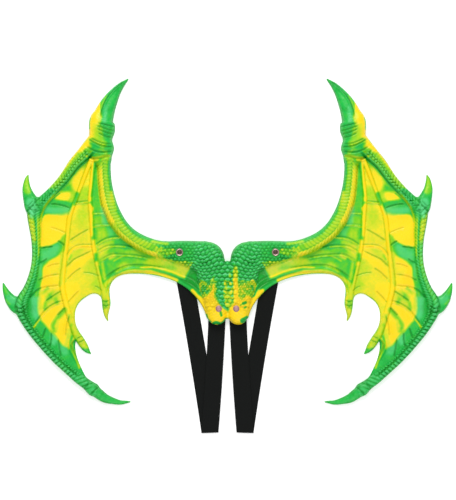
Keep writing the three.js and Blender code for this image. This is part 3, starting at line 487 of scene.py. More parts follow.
# Paint along lines: what it is, value, radius, softness, and marks
LINES = [
    ("middle finger's top", 1, 2.6, 2.1, [(91, 159.5), (87, 170), (82.5, 181), (78.6, 191.5)]),
    ("its pale outer side", 0.84, 1, 1.2, [(88, 161.5), (84, 171.5), (80, 182.5), (77.5, 190)]),
    ("inner finger's top", 0.98, 2.4, 1.9, [(93.3, 160), (92, 175), (90.7, 188), (89.8, 200)]),
    ("shade beside the inner finger", 0.3, 0.9, 1.5, [(95, 162.5), (94, 173), (93, 184), (91.9, 196)]),
    ("yellow rim of the upper outer bone", 0.9, 3.2, 2.8, [
        (77, 151.5), (74, 157), (66, 167.5), (58, 177.5), (50, 186)]),
    ("lime of the upper outer bone", 0.5, 4.4, 3, [
        (80, 155.5), (71, 167), (62.5, 177.5), (54.5, 185.5)]),
    ("lime over its pits", 0.32, 3.5, 3, [(83, 159), (74, 171), (66, 181), (60, 187.5)]),
    ("ridge inside the outer bone", 0.66, 1.5, 1.6, [
        (58.3, 191.8), (52.7, 197), (48.2, 202.2), (44.9, 207.5), (42.5, 213), (41, 219), (40.3, 226)]),
    ("shade beside that ridge, upper", 0.1, 0.8, 1.2, [
        (60, 193), (54, 198.5), (50, 203), (46.8, 208), (44.4, 213), (43, 217)]),
    ("lime beside the middle outer bone", 0.4, 1.4, 2, [(39.6, 222), (39.2, 234), (39.2, 246)]),
    ("speckled lime of the middle outer bone", 0.66, 2.1, 2, [
        (33.8, 220.5), (34.8, 230), (35.4, 239.5)]),
    ("yellow rim of the middle outer bone", 0.74, 1.6, 2, [(28.5, 215), (30.3, 223), (31.8, 231)]),
    ("lime lower on the middle outer bone", 0.34, 2.5, 2.5, [(35, 243), (35, 255), (34.5, 264)]),
    ("lime rim lower", 0.48, 1.2, 1.9, [(31.5, 261), (30.5, 269), (29, 276)]),
    ("rib of lime before the middle finger", 0.62, 1.5, 2, [
        (75.2, 200), (73.9, 205.5), (71.5, 209.5), (69.3, 213.5)]),
    ("green on the middle finger", 0.24, 2.8, 2.9, [(77.4, 193.3), (76.3, 198), (74.9, 203)]),
    ("middle finger below its knee", 1, 2.4, 2, [
        (74, 207.5), (70.4, 217), (68.4, 228), (67.8, 240), (66.6, 252)]),
    ("middle finger's foot", 0.95, 2.8, 2.2, [
        (66, 252), (64.7, 266), (63.4, 280), (64.3, 292), (66.5, 303), (69, 312)]),
    ("lime side of the middle finger", 0.56, 1.4, 2, [(65.2, 236), (64.8, 243), (64, 250)]),
    ("pale side of the middle finger", 0.84, 1.2, 1.6, [(64, 264), (62.6, 275), (62, 284)]),
    ("thicker yellow side of the middle finger", 1, 1.4, 1.9, [(66.4, 283), (66.6, 292), (67.3, 300)]),
    ("pale lime at the middle finger's end", 0.76, 1.9, 2.2, [(69.8, 315), (71.5, 321), (74, 328)]),
    ("green at the middle finger's end", 0.5, 2.4, 2.4, [(71.5, 324.5), (72.8, 333.5)]),
    ("thicker yellow margin", 1, 3.2, 3.8, [
        (56, 216.8), (46.5, 217.5), (43.6, 222), (43, 233), (43, 243.5)]),
    ("lime beside the middle finger", 0.7, 1.9, 2.8, [
        (62, 254), (61.4, 263), (60.7, 275), (60.2, 285)]),
    ("lime before the second fold", 0.55, 2.5, 2.8, [(43, 292.8), (46, 289.7), (48, 288)]),
    ("green under the third fold", 0.42, 2.4, 2.8, [(45.6, 303), (44.7, 308)]),
    ("green at the end of the third fold", 0.44, 2.6, 3, [(55.5, 299), (57.3, 302.5)]),
    ("pale margin of the third yellow patch", 0.74, 3, 3.5, [(41.3, 292), (39.8, 300), (40.2, 309)]),
    ("green beside the short stroke", 0.44, 3.4, 3.5, [
        (65.3, 309.5), (60.5, 314.5), (56, 319.5), (53.3, 325), (54.5, 330)]),
    ("lime foot of the third yellow patch", 0.76, 2.8, 3, [(69, 330), (68, 338), (66.5, 344)]),
    ("lime where the skin's edge turns", 0.7, 3.4, 2.5, [(74, 327), (75.8, 332), (74.6, 336.5)]),
    ("pale streak", 0.76, 1.9, 2.8, [(58.5, 320), (57, 329)]),
    ("lime fringe of the third yellow patch", 0.55, 1.5, 2, [
        (50.3, 330.3), (54, 334.2), (57.5, 338.7)]),
    ("end of the long fold", 0.76, 1.4, 1.5, [(40, 319.3), (36.5, 323.5), (34.6, 327)]),
    ("bright green corner", 0.36, 2.1, 2.5, [(37, 291.5), (36.5, 295.5)]),
    ("light green strip", 0.26, 3, 2.5, [(41, 265.5), (40, 276), (38.8, 287)]),
    ("line across the middle panel's top", 0.74, 1, 1.2, [(76.5, 203.2), (83, 202.6), (89.3, 201.4)]),
    ("fold of the middle panel", 0.97, 2, 2.5, [
        (67.5, 259), (70.5, 251.5), (75.5, 247), (84, 246.2), (93, 246.4)]),
    ("green spot by that fold", 0.42, 1.4, 2.9, [(69.4, 258.8), (71.4, 255)]),
    ("inner finger below its knee", 0.98, 2.1, 1.9, [(91.3, 214), (91.6, 225), (92, 235)]),
    ("green spot on the inner finger", 0.24, 2.8, 3.5, [(95.3, 232.5), (94.8, 236.3)]),
    ("yellow below that spot", 1, 2.4, 2.9, [(94, 241), (94.8, 247), (95.2, 251)]),
    ("second green spot on the inner finger", 0.22, 2.2, 3.2, [(96, 254.5), (96.2, 260)]),
    ("yellow spot on the inner finger", 0.95, 1.9, 2.8, [(97, 262.6), (97.3, 264)]),
    ("pale line of the inner finger", 0.85, 1.1, 1.6, [
        (98, 267), (100, 275), (101.8, 284), (103.2, 291)]),
    ("first line of the inner panel", 0.62, 1, 1.2, [(92.5, 213.4), (98, 213), (104.5, 212.8)]),
    ("second line of the inner panel", 0.62, 1.1, 1.4, [(94, 226.7), (101, 225.6), (108.5, 224.8)]),
    ("vein of the inner panel", 0.68, 1.1, 1.5, [
        (98, 243.6), (105, 240.3), (112, 238.1), (120, 237.5)]),
    ("second vein of the inner panel", 0.62, 1.1, 1.5, [
        (104.5, 250.3), (110, 247), (117, 245.9), (125, 246.6)]),
    ("yellow between the veins", 0.74, 2.8, 2.8, [(110.5, 257.6), (114, 255)]),
    ("third vein of the inner panel", 0.6, 1.1, 1.5, [
        (114.3, 260.6), (119.5, 257.6), (125, 255.5), (135, 256), (146, 257.2)]),
    ("lime side of the root panel", 0.64, 2.4, 3, [(102.3, 263), (103.5, 271), (105, 279)]),
    ("green spot of the root panel", 0.22, 2.5, 3.8, [(138.7, 264.6), (141, 264.2)]),
    ("yellow ridge over the hem", 0.93, 1.5, 1.8, [
        (141, 267.5), (152, 266.8), (164, 268.4), (175, 272.6), (184, 276.6)]),
    ("lime of the hem", 0.72, 3.8, 2.8, [
        (104.8, 297), (105.3, 285), (111, 279.5), (120, 274.2), (132, 271), (150, 272)]),
    ("green groove over the hem", 0.3, 0.8, 1.1, [
        (104.5, 280.5), (109, 276.8), (115, 274), (122, 271), (129, 268.4), (137, 268), (148, 268.9),
        (158, 269.8), (168, 272), (178, 276), (185, 279)]),
    ("yellow rim of the hem", 0.84, 1.8, 2, [
        (109, 301), (108.3, 291), (110.8, 284.5), (116, 278), (124, 273.6), (134, 271.6),
        (146, 271.6)]),
    ("pale rim of the hem", 0.9, 2.9, 2, [(146, 271.6), (157, 273), (168, 276.3), (176.5, 279.8)]),
    ("yellow hem under the lobe", 1, 3, 1.9, [
        (192.6, 290.2), (197.6, 296), (203, 303.5), (205.5, 309)]),
    ("yellow row of beads under the shoulder", 0.9, 1.4, 1.8, [
        (157, 257.6), (166, 260.2), (176, 263.2), (190.5, 264.5)]),
    ("lime of the arm's rings", 0.52, 6.2, 3, [(105.8, 160), (106, 175), (107, 187), (109.5, 198)]),
    ("yellow lime of the arm's rings", 0.6, 5.8, 3.8, [
        (109.5, 199), (112.5, 208), (117.5, 219), (125, 229.5), (136, 239.3), (149, 245)]),
    ("green rim of the upper arm", 0.16, 2.1, 2.2, [(110, 162), (110, 177), (111.6, 189)]),
    ("yellow of the bend", 0.8, 1.8, 3.8, [(112.2, 192.5), (113.8, 200), (117.5, 207.5)]),
    ("green rim of the lower arm", 0.17, 4, 2.5, [
        (118.3, 203.5), (121.5, 211.5), (127.5, 221), (134.5, 229), (142, 234.5)]),
    ("green rim at the arm's end", 0.17, 2.5, 2.2, [(142, 234.5), (152, 238)]),
    ("light green at the arm's end", 0.44, 5, 4, [(154, 244.5), (156, 252)]),
    ("lime rim at the arm's end", 0.6, 2.5, 2.5, [(153, 241.4), (160, 242.4), (167.5, 243.4)]),
    ("green edge of the yellow flank", 0.2, 1.2, 1.4, [(90.3, 118), (89.6, 123), (89.8, 128.5)]),
    # painted highlight along the top claw's crease
    ("lime line of the top claw", 0.46, 1.4, 1.9, [(106.3, 96), (103.6, 102), (101.9, 108.5)]),
    ("yellow of the collar's foot", 0.78, 2, 2, [
        (84.5, 152.5), (89, 156.8), (95, 158), (103, 157), (110, 156)]),
    ("yellow of the fan's root", 0.92, 2.5, 2.5, [(88.5, 157.8), (93, 159.5), (98, 159.5)]),
    ("yellow tip of the side claw", 0.72, 2.2, 3.6, [(27.5, 175.5), (27.3, 184), (29.5, 191)]),
    ("lime of the side claw", 0.46, 4, 5.5, [(26.5, 177), (25.5, 186), (27, 191)]),
    ("lime foot of the elbow claw", 0.4, 1.8, 2.5, [(6.5, 299.5), (10, 303)]),
    ("lime tip of the elbow claw", 0.3, 2.5, 3.1, [(4, 286), (7, 293)]),
    ("ridge at the fingers' fork", 0.64, 1.5, 1.5, [
        (76, 335.5), (73.2, 340), (72.3, 346), (74.3, 353.5), (77, 361), (79.6, 367.3)]),
    ("shade beside that ridge", 0.3, 1, 1.5, [(73.5, 335.5), (70.7, 340), (70.2, 346), (72, 352)]),
    ("yellow rim below the fork", 0.8, 1, 1.4, [(75.3, 350), (77.8, 358), (80.3, 365.5)]),
    ("green tip of the middle finger's claw", 0.2, 2, 2.5, [(87.3, 349), (90.5, 352.5)]),
    ("yellow of the middle finger's claw", 0.78, 1.6, 2, [(80.5, 336.5), (83, 339), (84.5, 345)]),
    ("yellow rim of the inner finger's claw", 0.84, 1.4, 1.6, [(109, 297), (109.3, 308)]),
]
# Paint across bones: what it is, bone, value, shares across from and to, shares along from and to
BANDS = [
    ("yellow of the arm's ridge", "arm", 0.85, 0.2, 1.1, 0.05, 0.5),
    ("yellow lime of the arm's ridge", "arm", 0.8, 0.36, 1.1, 0.5, 0.74),
    ("yellow of the ridge's end", "arm", 0.86, 0.4, 1, 0.74, 0.86),
    ("lime between the pits", "outer_bone_upper", 0.4, -0.6, 0.1, 0.12, 0.7),
    ("green beside the pits", "outer_bone_upper", 0.02, -1.2, -0.8, 0.05, 0.75),
    ("lime blobs", "outer_bone_middle", 0.68, 0.0, 0.9, 0.12, 0.36),
    ("lime blobs, lower", "outer_bone_middle", 0.34, 0.0, 0.7, 0.5, 0.95),
    ("light column beside the pits", "outer_bone_middle", 0.64, -0.8, -0.45, 0.12, 0.5),
]
BAND_SOFTNESS = (0.12, 0.06)  # across and along, shares
# Scales that are dabbed one by one: what it is, share of them, softness, wander, and marks
DABBED = [
    ("arm's end", 0.8, 4, 2, [
        (155, 246), (165, 246.5), (174, 248), (175, 253), (166, 257), (156, 255)]),
    ("lowest row of scales", 0.8, 1.6, 1, [
        (158, 255.5), (175, 260), (190, 261), (192, 265), (175, 264.5), (160, 260)]),
]
# Tables for the middle, where the two sides differ: marks are not mirrored
MIDDLE_DABBED = [
    ("left lobe's scales", 0.62, 3, 2, [
        (200, 280), (208, 281), (214, 276), (217, 284), (216.5, 300), (207, 299), (200, 294)]),
    ("middle column", 0.62, 2, 2, [
        (223.5, 279), (228, 278), (232.5, 286), (233.5, 304), (226.5, 307), (223.5, 296)]),
    ("right lobe's scales", 0.82, 3, 2, [
        (239, 281), (247, 278.5), (256.5, 281.5), (256, 289), (250, 298), (239, 299)]),
]
MIDDLE_PATCHES = [
    ("left lobe", 1, 2.3, 2.5, [
        (199, 295), (203, 297.2), (206.5, 295), (209, 291.5), (212, 289), (213.2, 283.5),
        (215.5, 282.5), (216.2, 290), (216, 296.5), (218.2, 300.8), (221, 303.7), (223.6, 307.3),
        (226, 309.6), (227.5, 311), (227.5, 319), (222.4, 326), (212, 327), (204, 319), (199, 306)]),
    ("green tongue", 0.12, 2.4, 2, [
        (217, 278), (223, 279), (223.8, 289.5), (224.5, 298.6), (227.6, 306.5), (226, 308.6),
        (221.8, 304.2), (218.5, 299), (216.8, 289.5)]),
    ("right streak", 0.97, 2.2, 2, [
        (234.6, 266.3), (237.3, 267.5), (238, 276), (238.3, 283.5), (239, 289.5), (238.6, 297),
        (234, 298), (232.8, 289.5), (232.6, 282.3), (233.8, 276)]),
    ("thin top of the right streak", 0.78, 2.7, 1.5, [
        (234.6, 265.5), (237.5, 266.5), (238, 275.5), (233.6, 275)]),
    ("right lobe", 1, 2.3, 2.5, [
        (233, 297), (238, 295), (243, 297), (247, 293.5), (251, 297), (254.5, 296), (258.5, 290.5),
        (262, 291), (256, 301), (251.5, 309), (251, 319.5), (246, 326), (236, 327), (229, 321),
        (227.6, 317.4), (227.8, 311), (229.5, 306), (232, 302)]),
]
MIDDLE_LINES = [
    ("lime spot of the middle", 0.6, 2.2, 2, [(229.7, 272.8), (230.2, 276)]),
    ("yellow of the middle column", 0.8, 2, 2.4, [(226, 283), (226.6, 291), (227.6, 299)]),
    ("light spot on the left", 0.42, 1.8, 2, [(214, 277), (214.6, 278.8)]),
    ("green dabs beside the streak", 0.14, 1.8, 1.8, [(231.3, 293.5), (232.6, 298), (231.8, 302.3)]),
    ("green dab under the streak", 0.16, 1.5, 1.6, [(240.3, 296.5), (242.4, 298.6)]),
]
# Laid over the dabs, as the rows of LINES are
HOOKS = [
    ("hook beside the scales", 0.82, 1.4, 1.2, [
        (205.4, 284.6), (204, 282.4), (201.6, 282.2), (199.9, 284.2), (200.4, 287.6)]),
    ("green under the hook", 0.1, 0.9, 1, [(204, 285.2), (202.6, 285.6), (202, 287.6), (203, 289.6)]),
]
# Drips of green in the middle, not mirrored: what it is, amount, radius, softness, and marks
MIDDLE_DRIPS = [
    ("first drop on the right", 0.9, 2.2, 1, [(243, 302.8), (245.4, 302)]),
    ("second drop on the right", 0.8, 1.4, 1, [(244.4, 307), (245.8, 306.2)]),
    ("third drop on the right", 0.7, 0.9, 0.9, [(240.2, 304.4), (241, 304.2)]),
    ("oval drip on the right", 1, 4.2, 1, [(242.6, 319.9), (244.8, 319), (246.6, 318)]),
    ("drip on the left lobe's side", 1, 2, 1.1, [(206.2, 314.4), (207.4, 318.4), (210, 321.4)]),
    ("drip under the left lobe", 1, 2.5, 1.1, [(213.6, 323), (216, 322), (219, 323)]),
    ("drip beside the slit", 1, 2.6, 1.1, [(221.4, 323.4), (224, 321.6), (226, 319)]),
    ("drop under the left rivet", 0.85, 1.8, 1, [(220.7, 311.5), (221.5, 314.8)]),
]
# Painted sheen, paler green patches where the gloss shines: what it is, amount, softness, wander, marks
PAINTED_SHEEN = [
    ("green band", 0.7, 4, 2, [(47, 207), (58, 207.5), (69, 208), (66, 213), (46, 213)]),
    ("green triangle", 0.6, 4, 2, [
        (42, 251), (48, 249), (56, 244), (60, 247), (55, 255), (46, 259), (42, 259)]),
    ("strip beside the third yellow patch", 0.5, 2.5, 2, [
        (39.5, 264), (42, 264), (41, 276), (39.5, 276)]),
    ("bay behind the elbow", 0.8, 4.5, 2, [
        (33, 298), (38, 297), (37.5, 306), (39, 316), (36, 319), (32, 310)]),
    ("foot of the outer panel", 0.8, 3.5, 2, [(50.5, 333), (54, 335), (58, 340), (55, 345), (51, 342)]),
    ("foot of the outer panel, lower", 0.6, 4, 2, [
        (59, 343), (66, 347), (69, 353), (63, 354), (60, 349)]),
    ("beside the arm", 0.6, 3, 2, [
        (101, 206), (104, 208), (108, 218), (108, 224), (103, 223), (101, 214)]),
    ("under the arm", 0.4, 3, 2, [(108, 227), (112, 229), (113, 234), (109, 236)]),
    ("side claw's root", 0.8, 3, 2, [(29, 198), (36, 200), (38, 208), (33, 217), (30, 211), (27, 203)]),
    ("elbow claw", 0.6, 4, 2, [(8, 294), (16, 296), (18, 302), (12, 303), (7, 298)]),
    ("top claw's inner side", 0.5, 3, 2, [(104, 110), (107, 106), (107, 122), (103.5, 122)]),
    ("top claw's upper side", 0.4, 3, 2, [(108, 92), (117, 84), (120, 84), (112, 93)]),
]

# How finely things are worked out
BONE_STEPS = 6  # steps from row to row of a bone, and from mark to mark of a vein
LINE_STEPS = 4  # the same along a painted line and along the skin's free edges
PATCH_STEPS = 3  # the same round a patch of paint
BONE_REACH = 28  # how far beside a bone its height still counts
POINTS_AT_ONCE = 16384  # points that beside() works out in one go
PAINT_REACH = 16  # how far beyond its marks a patch or a line may reach
CROSSING_LIMITS = (0.12, 0.88)  # where on a grid side the outline may cross, so no sliver is left
ON_SEAM = 1e-6  # a point so near to the middle lies on the seam of both wings
BACK_PITCH = 9.0  # from point to point of the flat back
SAME_POINT = 1e-7  # points so near to each other are one, for the flat back's triangles
TRIANGLES_INSIDE = 1  # what delaunay_2d_cdt calls the triangles within given edges
FAR_OUTSIDE = -99.0  # distance inside the body of a point that is nowhere near it
ROUND_STEPS = 40  # corners round a rivet
PROFILE_STEPS = 4  # steps from row to row of a rivet's head
ROUNDING_STEPS = 3  # the same in an eyelet's bottom and round a back cap
RUN_STEPS = 24  # steps along each run of a strap
FOLD_STEPS = 8  # steps round a strap's fold
SECTION_POINTS = 28  # corners round a strap's section
STRAP_EDGE_SHARPNESS = 1.25  # over 1, a strap's faces stay flat up to its rounded edges
STRAP_EDGE_POWER = 0.5  # 1 gives round edges, and less squarer ones

# Cell numbers: factors of a cell's column and row, of the seed, and of the last mixing
CELL_FACTORS = (374761393, 668265263, 144665)
CELL_MIXING = 1274126177
CELL_BITS = 0x7fffffff
NUMBER_BITS = 0xffff

# Textures of the face, in millimetres
BONE_POWER = 3  # 2 gives a bone a round section, and more a flatter one
RELIEF = 1.3  # all bone textures are so much deeper than their functions say
LINE_RELIEF = 2.1  # the same for veins and creases
LINE_REACH = 4  # how far beside a vein its ridge and groove reach, in its half widths
RING_PITCH = 5.3  # of the arm's rings
BEAD_PITCH = 5.4  # of the beads on the arm's ridge
KNOB_PITCH = 6.2  # of the lower outer bone's knobs
SCALE_WIDTHS = (9.0, 5.6)  # of the scales in the middle and far out
SCALE_TURN = 38.0  # how far out the one passes into the other
SCALE_ROWS = (6.6, 4.8)  # from row to row in the middle and far out
SCALE_ROWS_CHANGE = (36, 60)  # how far out the one passes into the other
SCALE_ROWS_MEET = 5  # at this y the count of rows is the same all the way out
ROWS_MORE = 1.7  # rows squeezed in beside the lobes
ROWS_MORE_OUT, ROWS_MORE_UP = (8, 44), (-48, -8)  # where they come in, along x and along y
ROW_STEP = math.sqrt(3) / 2  # from row to row of six-sided cells of pitch 1
SCALE_WANDER = 0.2  # how far a scale may lie from its regular place, share of the pitch
PEBBLE_PITCH = 4.4
PEBBLE_WANDER = 0.45  # the same for pebbles
PEBBLES_OUT, PEBBLES_TOP, PEBBLES_FOOT = (12, 17), (-38, -46), (-82, -76)
SCALES_OUT, SCALES_FOOT = (118, 96), (-94, -80)  # where the scales end
TOP_BAND = 5.0  # how wide the smooth band over the shoulder's scales is
SIDE_BAND = 2  # the same elsewhere
BONE_TEXTURE_OUT = (88, 112)  # how far out the arm's texture takes over from the scales
BONE_TEXTURE_ACROSS = (1.03, 0.88)  # share across where a bone's texture begins, and is full
BONE_TEXTURE_ALONG = (1, 8)  # the same along a bone
TEXTURE_IN = (0.3, 3)  # the same for all textures, in from the rim
WRINKLE_PITCH = 4.2  # of the wrinkles below the lobes
WRINKLES_IN, WRINKLES_TOP = (1, 4), (-80, -94)  # where they begin, in from the edge and in y
SKIN_SWELL, SKIN_LUMPS = 0.9, 26  # height and size of the skin's own unevenness
SKIN_SWELL_IN = (4, 16)  # how far in from its border this begins, and is full
SKIN_RISE = 7.0  # how much the skin thickens towards the body
SKIN_RISE_OVER = (-26, 4)  # how far inside the body's edge this begins, and is full
SKIN_BEYOND = 6  # how far beyond its border the skin is still worked out
CLAW_ROOT = (-2, 14)  # along a claw from a bone, where its height begins and is full
BEYOND_SLOPE = 1.6  # how steeply a bone falls beyond its side
BONE_BLEND, RIB_BLEND = 3.5, 2.5  # fillets where a bone or a thin rib meets the skin
OUTLINE_BLEND = 2  # fillet where outlines meet
GROOVE_FULL = 0.8  # a groove so deep counts as the deepest
RAISED_FULL = 0.9  # a texture so high counts as the highest
SEAT_SLOPE = 0.8  # how steeply the foam rises from a rivet's seat
SEAT_BLEND = 1  # fillet where this slope meets the face
SEAT_EDGE = (3, 0.5)  # how far beyond a rivet's head its seat begins, and is flat
RIVET_SEATS = {"upper": LIFT + 0.8 * SHOULDER_THICK, "lower": LIFT + 0.78 * SHOULDER_THICK}
RIVET_SIZES = {"eyelet_radius": 6.2, "eye_radius": 3.7, "dome_radius": 5.0}

# Paint: values from 0, deep green, to 1, golden
BASE_PAINT = 0.12
LINE_WANDER = 0.5  # how far noise moves the edges of painted lines
WANDER_PARTS = ((0.7, 12), (0.3, 5))  # share and size of each noise that moves the edges
DAB_PAINT = (0.34, 0.4)  # least, and how much more some dabs have
MIDDLE_DAB_PAINT = (0.42, 0.46)
DRIP_PAINT = 0.06
GROOVE_PAINT = 0.15  # how much greener a groove in lime is painted, as painted shade
PAINTED_SHEEN_STRENGTH = 0.6  # how much of the painted sheen's colour an amount of 1 gives
PAINTED_SHEEN_LIMIT = 1.5
PAINTED_HIGHLIGHT_STRENGTH = 0.9  # painted sheen that the painted highlight adds on green paint
BONE_TOP_HIGHLIGHT = 0.55  # how much painted highlight the tops of the bones' textures get
SCALE_LIGHT, PEBBLE_LIGHT = 1.5, 0.9  # painted highlight on the scales' upper edges and the pebbles' tops
NO_LIGHT_ON_ARM = (0.95, 1.15)  # share across the arm beyond which scales have their painted highlight
SCALE_SHADE = 0.8  # how dark the lower edges of scales are, share of the deepest groove
SCALE_SHADE_IN = (0, 2)  # how far in from the rim this begins, and is full
RIM_SHADE = 0.55  # how dark the rim is
RIM_SHADE_IN = (2.6, 0.4)  # how far in from it this ends, and is full
GROOVE_SHADE = 0.8  # how much of its tint the deepest groove takes
GROOVE_TINTS = [  # colours of the painted shade, by the paint's value
    (0.3, (0.26, 0.5, 0.3)),
    (0.75, (0.62, 0.68, 0.06)),
    (0.97, (0.72, 0.72, 0.04)),
]

# Finishes
CORD_PITCH, PICK_PITCH = 1.1, 1.6  # of the elastic's weave
FOAM_SMOOTH_TO = math.radians(72)  # sharper edges than these are shaded as edges
STRAP_SMOOTH_TO = math.radians(60)
METAL_SMOOTH_TO = math.radians(50)

# Lamps: place in metres, diameter in metres, and share of the key light's strength
LAMPS = [
    ("key", (-0.15, 1.9, 2.0), 1.3, 1.0),
    ("low", (0.3, -1.6, 2.4), 1.6, 0.5),
]
CAMERA_AIM = (0.0008, 0.0081)  # what it looks straight down on, in metres
SENSOR_WIDTH = 36
VIEW_END = 60  # in metres
FLOOR_GLOW = 0.26  # how strongly the floor shines through


def from_photo(marks):
    """Marks in photo pixels as millimetres at x >= 0, by their shares of the wing's own sizes."""
    marks = np.asarray(marks, float)
    out = (PHOTO_MIDDLE - marks[:, 0]) / PHOTO_HALF_SPAN
    up = (PHOTO_FOOT - marks[:, 1]) / PHOTO_HEIGHT
    return np.column_stack([out * HALF_SPAN, FOOT + up * WING_HEIGHT])


def on_wing(rows):
    """Rows that begin with out and up, with millimetres in their place."""
    rows = np.array(rows, float)
    rows[:, 0] *= HALF_SPAN
    rows[:, 1] = FOOT + rows[:, 1] * WING_HEIGHT
    return rows


def smoothstep(low, high, value):
    """0 below low, 1 above high, and 3f^2 - 2f^3 between them."""
    f = np.clip((value - low) / (high - low), 0, 1)
    return f * f * (3 - 2 * f)


def smooth_rows(rows, steps):
    """Uniform Catmull-Rom curve through rows of numbers, with so many steps from row to row."""
    rows = np.asarray(rows, float)
    last = len(rows) - 1
    at = np.linspace(0, last, last * steps + 1)
    k = np.minimum(at.astype(int), last - 1)
    f = (at - k)[:, None]
    a, b, c, d = (rows[np.clip(k + shift, 0, last)] for shift in (-1, 0, 1, 2))
    cubic = 3 * b + d - a - 3 * c
    return b + 0.5 * ((c - a) * f + (2 * a - 5 * b + 4 * c - d) * f**2 + cubic * f**3)


def beside(line, x, y):
    """Foot of each point on a polyline: distance, side (+1 left of its way) and place in rows."""
    start = line[:-1, :2]
    step = line[1:, :2] - start
    square = np.maximum((step**2).sum(1), 1e-9)
    distance, side, at = (np.empty(len(x)) for _ in range(3))
    for first in range(0, len(x), POINTS_AT_ONCE):
        part = slice(first, first + POINTS_AT_ONCE)
        dx = x[part, None] - start[:, 0]
        dy = y[part, None] - start[:, 1]
        f = np.clip((dx * step[:, 0] + dy * step[:, 1]) / square, 0, 1)
        away = (dx - f * step[:, 0])**2 + (dy - f * step[:, 1])**2
        k = away.argmin(1)
        row = np.arange(len(k))
        distance[part] = np.sqrt(away[row, k])
        side[part] = np.sign(step[k, 0] * dy[row, k] - step[k, 1] * dx[row, k])
        at[part] = k + f[row, k]
    return distance, side, at


def inside(outline, x, y):
    """Distance to a closed outline, positive inside, where a ray crosses it an odd number of times."""
    closed = np.vstack([outline, outline[:1]])
    distance, _, _ = beside(closed, x, y)
    odd = np.zeros(len(x), bool)
    for (ax, ay), (bx, by) in zip(closed[:-1], closed[1:]):
        if ay != by:
            crosses = (ay > y) != (by > y)
            odd ^= crosses & (x < (bx - ax) * (y - ay) / (by - ay) + ax)
    return np.where(odd, distance, -distance)


def higher(a, b, blend):
    """Larger of two heights, with a fillet where they meet: within blend of each other, it adds
    (blend - difference)^2 / (4 blend)."""
    near = np.maximum(blend - np.abs(a - b), 0) / blend
    return np.maximum(a, b) + near**2 * blend / 4


def cell_number(i, j, seed):
    """Number from 0 to 1 for a lattice cell, the same at each run."""
    column_factor, row_factor, seed_factor = CELL_FACTORS
    n = i.astype(np.int64) * column_factor + j.astype(np.int64) * row_factor + seed * seed_factor
    n &= CELL_BITS
    n = ((n ^ (n >> 13)) * CELL_MIXING) & CELL_BITS
    return ((n ^ (n >> 16)) & NUMBER_BITS) / NUMBER_BITS


def noise(x, y, size, seed):
    """Smooth lumps of a size in millimetres, from -1 to 1: cell numbers blended by smoothstep."""
    u, v = x / size, y / size
    i, j = np.floor(u), np.floor(v)
    f, g = smoothstep(0, 1, u - i), smoothstep(0, 1, v - j)
    low = cell_number(i, j, seed) * (1 - f) + cell_number(i + 1, j, seed) * f
    high = cell_number(i, j + 1, seed) * (1 - f) + cell_number(i + 1, j + 1, seed) * f
    return 2 * (low * (1 - g) + high * g) - 1


def six_sided(u, v):
    """Six-sided cells of pitch 1: how deep a point is in its cell, the cell's own number, and how
    far above its middle the point is.

    The depth is 0 on the border and 0.5 in the middle. Rows lie half a pitch aside in turn."""
    tall = ROW_STEP
    depth, number, above = np.full(len(u), -1.0), np.zeros(len(u)), np.zeros(len(u))
    for shift in (0, 1):
        i = np.round(u - shift / 2)
        j = np.round((v / tall - shift) / 2)
        du, dv = np.abs(u - shift / 2 - i), v - (2 * j + shift) * tall
        own = 0.5 - np.maximum(du, du / 2 + np.abs(dv) * tall)
        number = np.where(own > depth, cell_number(2 * i + shift, 2 * j + shift, seed=7), number)
        above = np.where(own > depth, dv, above)
        depth = np.maximum(depth, own)
    return depth, number, above


def groove(phase, width):
    """1 where the phase is whole, falling away over a width: exp(-(offset / width)^2)."""
    return np.exp(-((phase - np.round(phase)) / width)**2)


def rounded(phase):
    """Rounded rings with sharp grooves between them where the phase is whole: |sin|^0.6."""
    return np.abs(np.sin(np.pi * phase))**0.6


def bell(value, middle, width):
    """exp(-((value - middle) / width)^2)."""
    return np.exp(-((value - middle) / width)**2)


class Along:
    """Where the points near a line lie along it: run from its start, across (+ left) and columns."""

    def __init__(self, rows, x, y, reach):
        """Finds the points within reach of the line's box and, by beside(), their feet on it."""
        low, high = rows[:, :2].min(0) - reach, rows[:, :2].max(0) + reach
        box = (x > low[0]) & (x < high[0]) & (y > low[1]) & (y < high[1])
        self.near = np.flatnonzero(box)
        self.distance, side, at = beside(rows, x[self.near], y[self.near])
        steps = np.hypot(*np.diff(rows[:, :2], axis=0).T)
        run = np.concatenate([[0], np.cumsum(steps)])
        self.run = np.interp(at, np.arange(len(rows)), run)
        self.length = run[-1]
        self.across = side * self.distance
        self.columns = [np.interp(at, np.arange(len(rows)), column) for column in rows[:, 2:].T]


def along_bone(name, x, y):
    """Points along a bone, with its half width, its height, and their share across it.

    The share is of the half width, and positive to the left on the way along the bone: on the
    skin's side of the arm, and on the outer side of the outer bones."""
    width, thick, rows = BONES[name]
    rows = on_wing(rows)
    rows[:, 2] *= width / 2
    rows[:, 3] *= thick
    bone = Along(smooth_rows(rows, BONE_STEPS), x, y, BONE_REACH + width / 2)
    bone.half, bone.height = bone.columns
    bone.share = bone.across / bone.half
    return bone


def skin_outline():
    """Closed border of one wing's skin."""
    edges = [smooth_rows(edge, LINE_STEPS) for edge in (ROOT_EDGE, MIDDLE_EDGE, OUTER_EDGE)]
    return on_wing(np.vstack([SKIN_UNDER_ARM, *edges, SKIN_UNDER_OUTER_BONE]))


